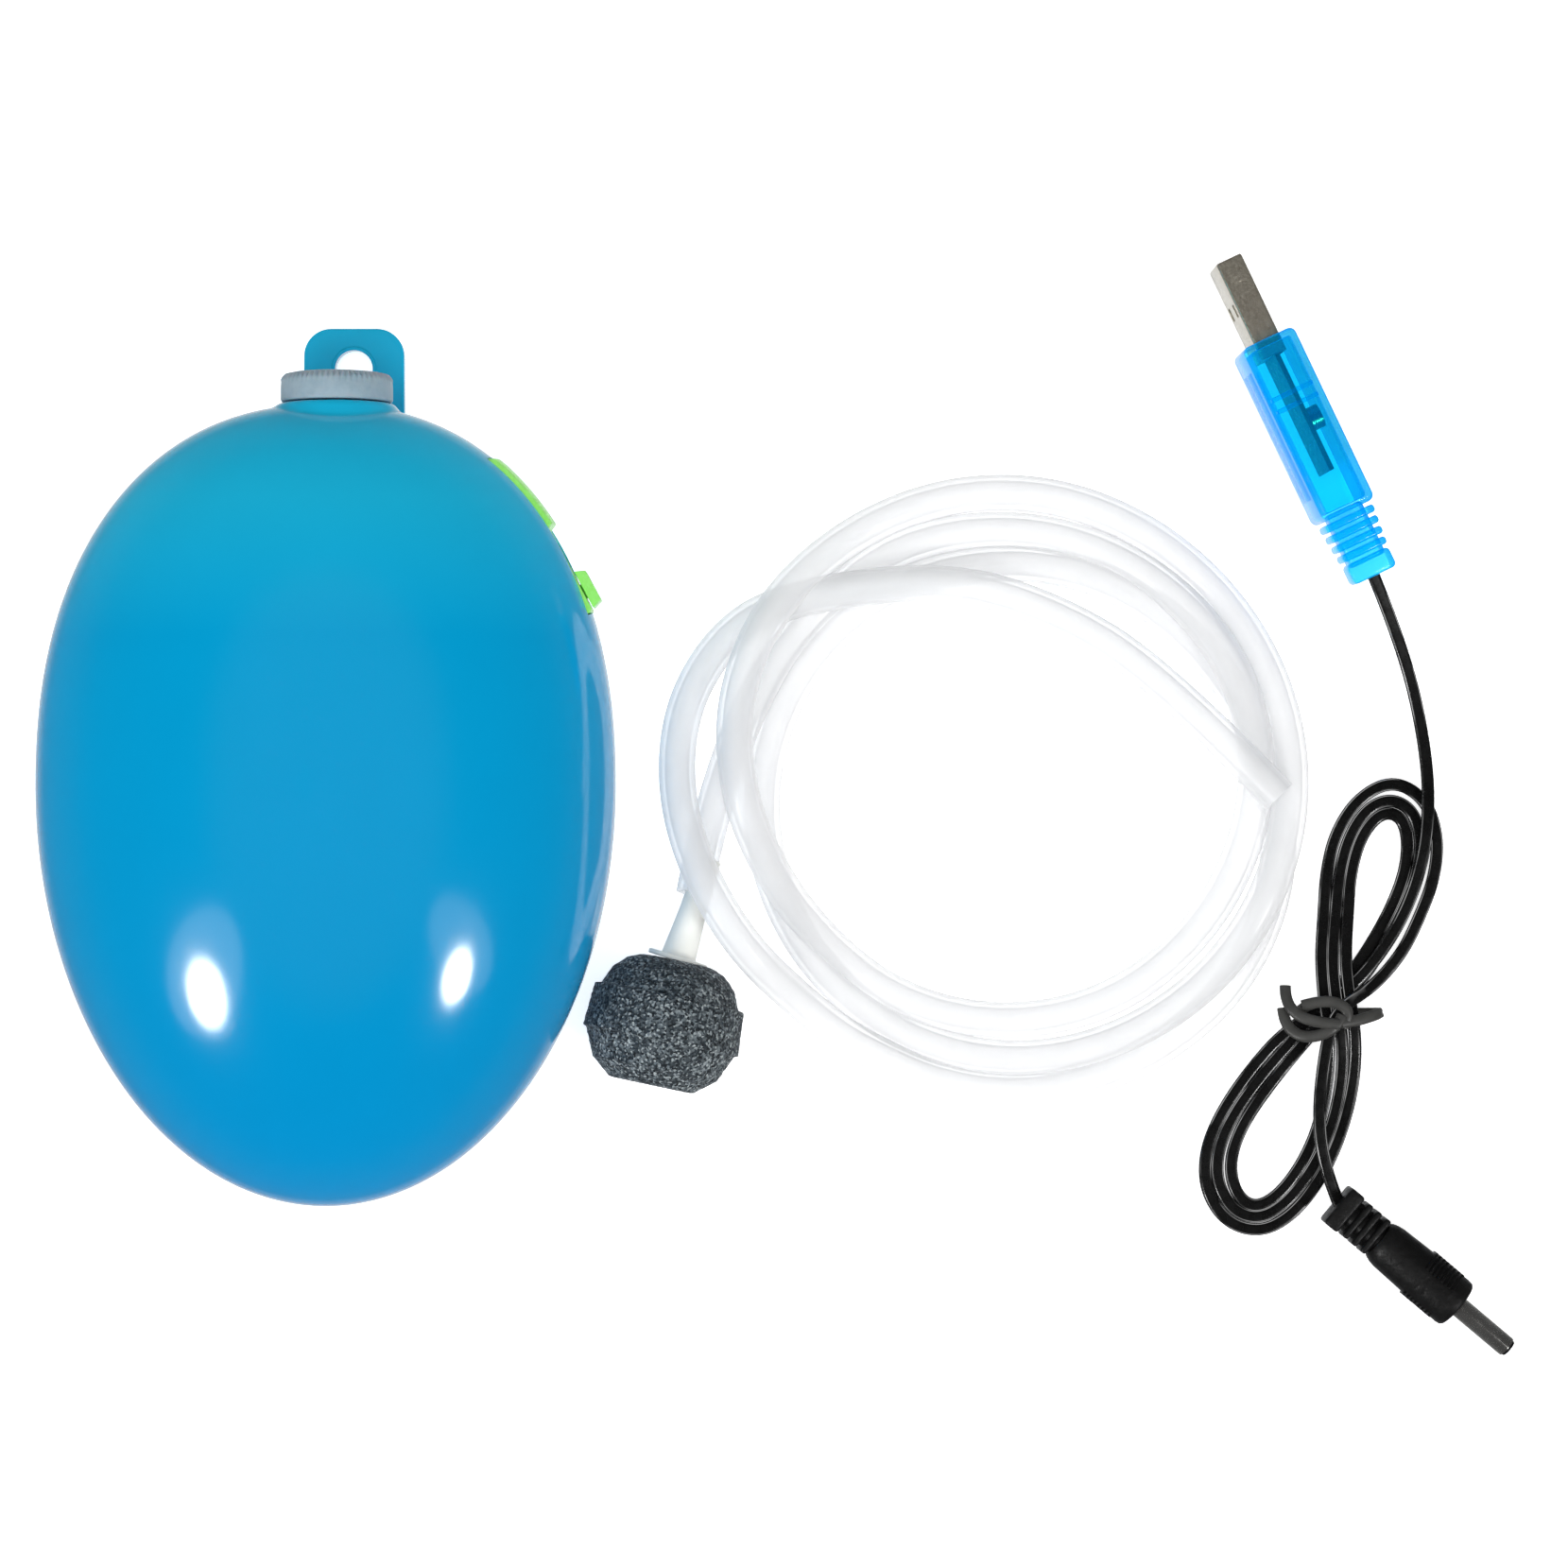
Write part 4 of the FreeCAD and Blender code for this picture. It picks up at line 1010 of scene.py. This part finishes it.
def dc_boot():
    prof = [(-37.4, 0.3), (-37.4, 1.7), (-36.8, 2.0), (-28.0, 2.2), (-28.0, 0.3)]
    parts = [link("core", turned_profile("core", prof, DC, 36))]
    parts.append(block("end", ((-37.4, -34.6), (-3.7, 3.7), (-3.3, 3.3)), DC, 0.5, 3))
    for i in range(3):
        x = -33.7 + 1.9 * i
        parts.append(block("rib", ((x, x + 1.1), (-3.5, 3.5), (-3.2, 3.2)), DC, 0.4, 3))
    parts.append(block("web", ((-36.6, -28.1), (-2.8, 2.8), (-0.9, 0.9)), DC, 0.3, 2))
    return join("dc_boot", parts)


dc_boot = finish_piece(dc_boot(), "black", "black_plastic", "base", "dc_relief")
BARREL = [(-17.3, 0.5), (-17.3, 1.3), (-10.8, 1.3), (-10.8, 1.75), (-0.72, 1.75), (-0.5, 1.7),
          (-0.5, 1.2), (-10.3, 1.15)]
dc_pin = link("dc_barrel", turned_profile("dc_barrel", BARREL, DC, 48), sharp=30)
dc_pin = finish_piece(dc_pin, "nickel", "nickel", "base", "dc_pin")
TIP = [(-10.3, 0.5), (-10.3, 1.15), (-0.5, 1.15), (-0.5, 1.45), (-0.12, 1.45), (0.0, 1.35),
       (0.0, 0.75), (-0.1, 0.65), (-9.5, 0.6)]
dc_tip = link("dc_tip", turned_profile("dc_tip", TIP, DC, 48), sharp=30)
dc_tip = finish_piece(dc_tip, "black", "black_plastic", "base", "dc_insulator")


# ---------------------------------------------------------------- twist tie
TIE_PATHS = [
    [(158.6, -33.2, 6.6), (162.0, -32.2, 7.2), (165.4, -33.0, 7.2), (166.4, -35.0, 7.0),
     (165.2, -36.6, 6.9)],
    [(165.0, -36.0, 7.3), (168.2, -35.6, 6.3), (171.6, -34.6, 4.6), (172.0, -34.6, 2.6),
     (170.6, -34.8, 0.7), (165.0, -34.8, 0.5), (160.2, -34.8, 0.6), (158.8, -34.6, 2.4),
     (158.7, -33.8, 4.6), (160.0, -33.0, 6.4)],
    [(155.9, -29.9, 6.0), (155.8, -32.2, 6.6), (157.6, -34.8, 7.6), (161.4, -36.0, 7.9),
     (164.6, -36.2, 7.7)],
    [(155.6, -33.6, 5.0), (155.8, -36.2, 5.4), (158.2, -38.4, 6.4), (161.6, -38.2, 7.2),
     (164.4, -36.4, 7.6), (165.2, -34.8, 7.2)],
]


def tie():
    """A flat twisted strip: the wrap round the strands, the knot and its two ends."""
    angles = [2 * math.pi * k / 14 for k in range(14)]
    strip = [(0.95 * math.cos(a), 0.5 * math.sin(a)) for a in angles]
    objs = []
    for i, p in enumerate(TIE_PATHS):
        objs.append(link("tie%d" % i, sweep("tie%d" % i, nurbs_points(p, 10), strip), sharp=60))
    return join("tie_wrap", objs)


tie_wrap = finish_piece(tie(), "tie", "black_rubber", "base", "twist_tie")

# ---------------------------------------------------------------- cords: finish, body and hidden CAD cord pieces
finish_piece(hose, "hose", "hose_clear", "base", "hose_run", "hose_loop", "hose_tail", "hose_coil")
finish_piece(lead, "flex", "flex_black", "base", "lead_run", "lead_hank", "lead_tail")

# ---------------------------------------------------------------- carried-over CAD pieces
PAINT = {
    "slide_switch": "black", "knob_stem": "acetal", "knob_oring": "rubber", "regulator_body": "acetal",
    "battery_1": "wrap", "battery_2": "wrap", "battery_tray": "black", "contact_bridge": "nickel",
    "contact_plus": "nickel", "contact_minus": "nickel", "motor_can": "steel", "motor_end_cap": "white",
    "magnet_1": "ferrite", "magnet_2": "ferrite", "rotor_core": "steel", "motor_shaft": "steel",
    "eccentric": "white", "motor_bracket": "black", "connecting_rod": "acetal", "rod_plunger": "acetal",
    "diaphragm": "rubber", "clamp_ring": "black", "pump_chamber": "acetal", "valve_plate": "acetal",
    "inlet_flap": "rubber", "outlet_flap": "rubber", "pump_cover": "acetal", "pump_screws": "steel",
    "inner_hose": "hose", "dc_jack": "black", "circuit_board": "pcb", "board_capacitor": "wrap",
    "board_chip": "black", "usb_tongue": "white", "usb_board": "pcb", "usb_coil": "brass",
}
for node, mat in PAINT.items():
    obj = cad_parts[node]
    for s in range(max(1, len(obj.material_slots))):
        if len(obj.data.materials) <= s:
            obj.data.materials.append(MAT[mat])
        else:
            obj.data.materials[s] = MAT[mat]

# ---------------------------------------------------------------- floor and light
FLOOR_HALF, FLOOR_Z = 3000, -0.02
corners = [(x * FLOOR_HALF, y * FLOOR_HALF, FLOOR_Z) for x, y in ((-1, -1), (1, -1), (1, 1), (-1, 1))]
floor = link("floor", mesh_from("floor", corners, [(0, 1, 2, 3)]), smooth=False)
fm, fnt, fb = new_mat("table_white")
fn = noise_node(fnt, 8.0, 2.0)
fc = ramp(fnt, fn.outputs["Fac"], [(0.3, (0.97, 0.97, 0.97)), (0.7, (1.0, 1.0, 1.0))])
fnt.links.new(fc.outputs["Color"], fb.inputs["Base Color"])
fb.inputs["Roughness"].default_value = 0.9
fb.inputs["Specular IOR Level"].default_value = 0.0
fb.inputs["Emission Color"].default_value = (1, 1, 1, 1)
fb.inputs["Emission Strength"].default_value = 0.7
floor.data.materials.append(fm)
floor.visible_glossy = False

world = bpy.data.worlds.new("studio")
scene.world = world
world.use_nodes = True
wn = world.node_tree
bg = wn.nodes["Background"]
wtc = wn.nodes.new("ShaderNodeTexCoord")
wsep = wn.nodes.new("ShaderNodeSeparateXYZ")
wn.links.new(wtc.outputs["Generated"], wsep.inputs["Vector"])
wm = wn.nodes.new("ShaderNodeMapRange")
wm.inputs["From Min"].default_value = -1.0
wn.links.new(wsep.outputs["Z"], wm.inputs["Value"])
# bright table under a dark room: the ramp runs from straight down to straight up
SKY = [(0.0, 1.3), (0.07, 0.8), (0.18, 0.2), (0.4, 0.08), (0.65, 0.05), (1.0, 0.012)]
wr = ramp(wn, wm.outputs["Result"], [(at, (0.96 * v, 0.98 * v, v)) for at, v in SKY])
side = wn.nodes.new("ShaderNodeMapRange")
side.inputs["From Min"].default_value = -1.0
side.inputs["To Min"].default_value = 0.6
side.inputs["To Max"].default_value = 0.75
wn.links.new(wsep.outputs["X"], side.inputs["Value"])
wn.links.new(multiply(wn, wr.outputs["Color"], side.outputs["Result"]), bg.inputs["Color"])
bg.inputs["Strength"].default_value = 1.0


def softbox(name, direction, dist, size, power, mirrored=True):
    d = Vector(direction).normalized()
    data = bpy.data.lights.new(name, "AREA")
    data.shape = "ELLIPSE"
    data.size, data.size_y = size
    data.energy = power
    obj = bpy.data.objects.new(name, data)
    scene.collection.objects.link(obj)
    obj.location = d * dist
    obj.rotation_euler = (-d).to_track_quat("-Z", "Y").to_euler()
    obj.visible_glossy = mirrored
    return obj


softbox("key_left", (-0.64, -0.54, 0.745), 1.4, (0.27, 0.33), 6)
softbox("key_right", (0.60, -0.47, 0.66), 1.4, (0.22, 0.24), 5)
softbox("halo_left", (-0.64, -0.48, 0.75), 1.45, (0.44, 0.78), 1.2)
softbox("halo_right", (0.60, -0.38, 0.66), 1.45, (0.32, 0.72), 0.6)
softbox("ceiling_fill", (0.0, 0.0, 1.0), 2.5, (3.2, 3.2), 54, mirrored=False)
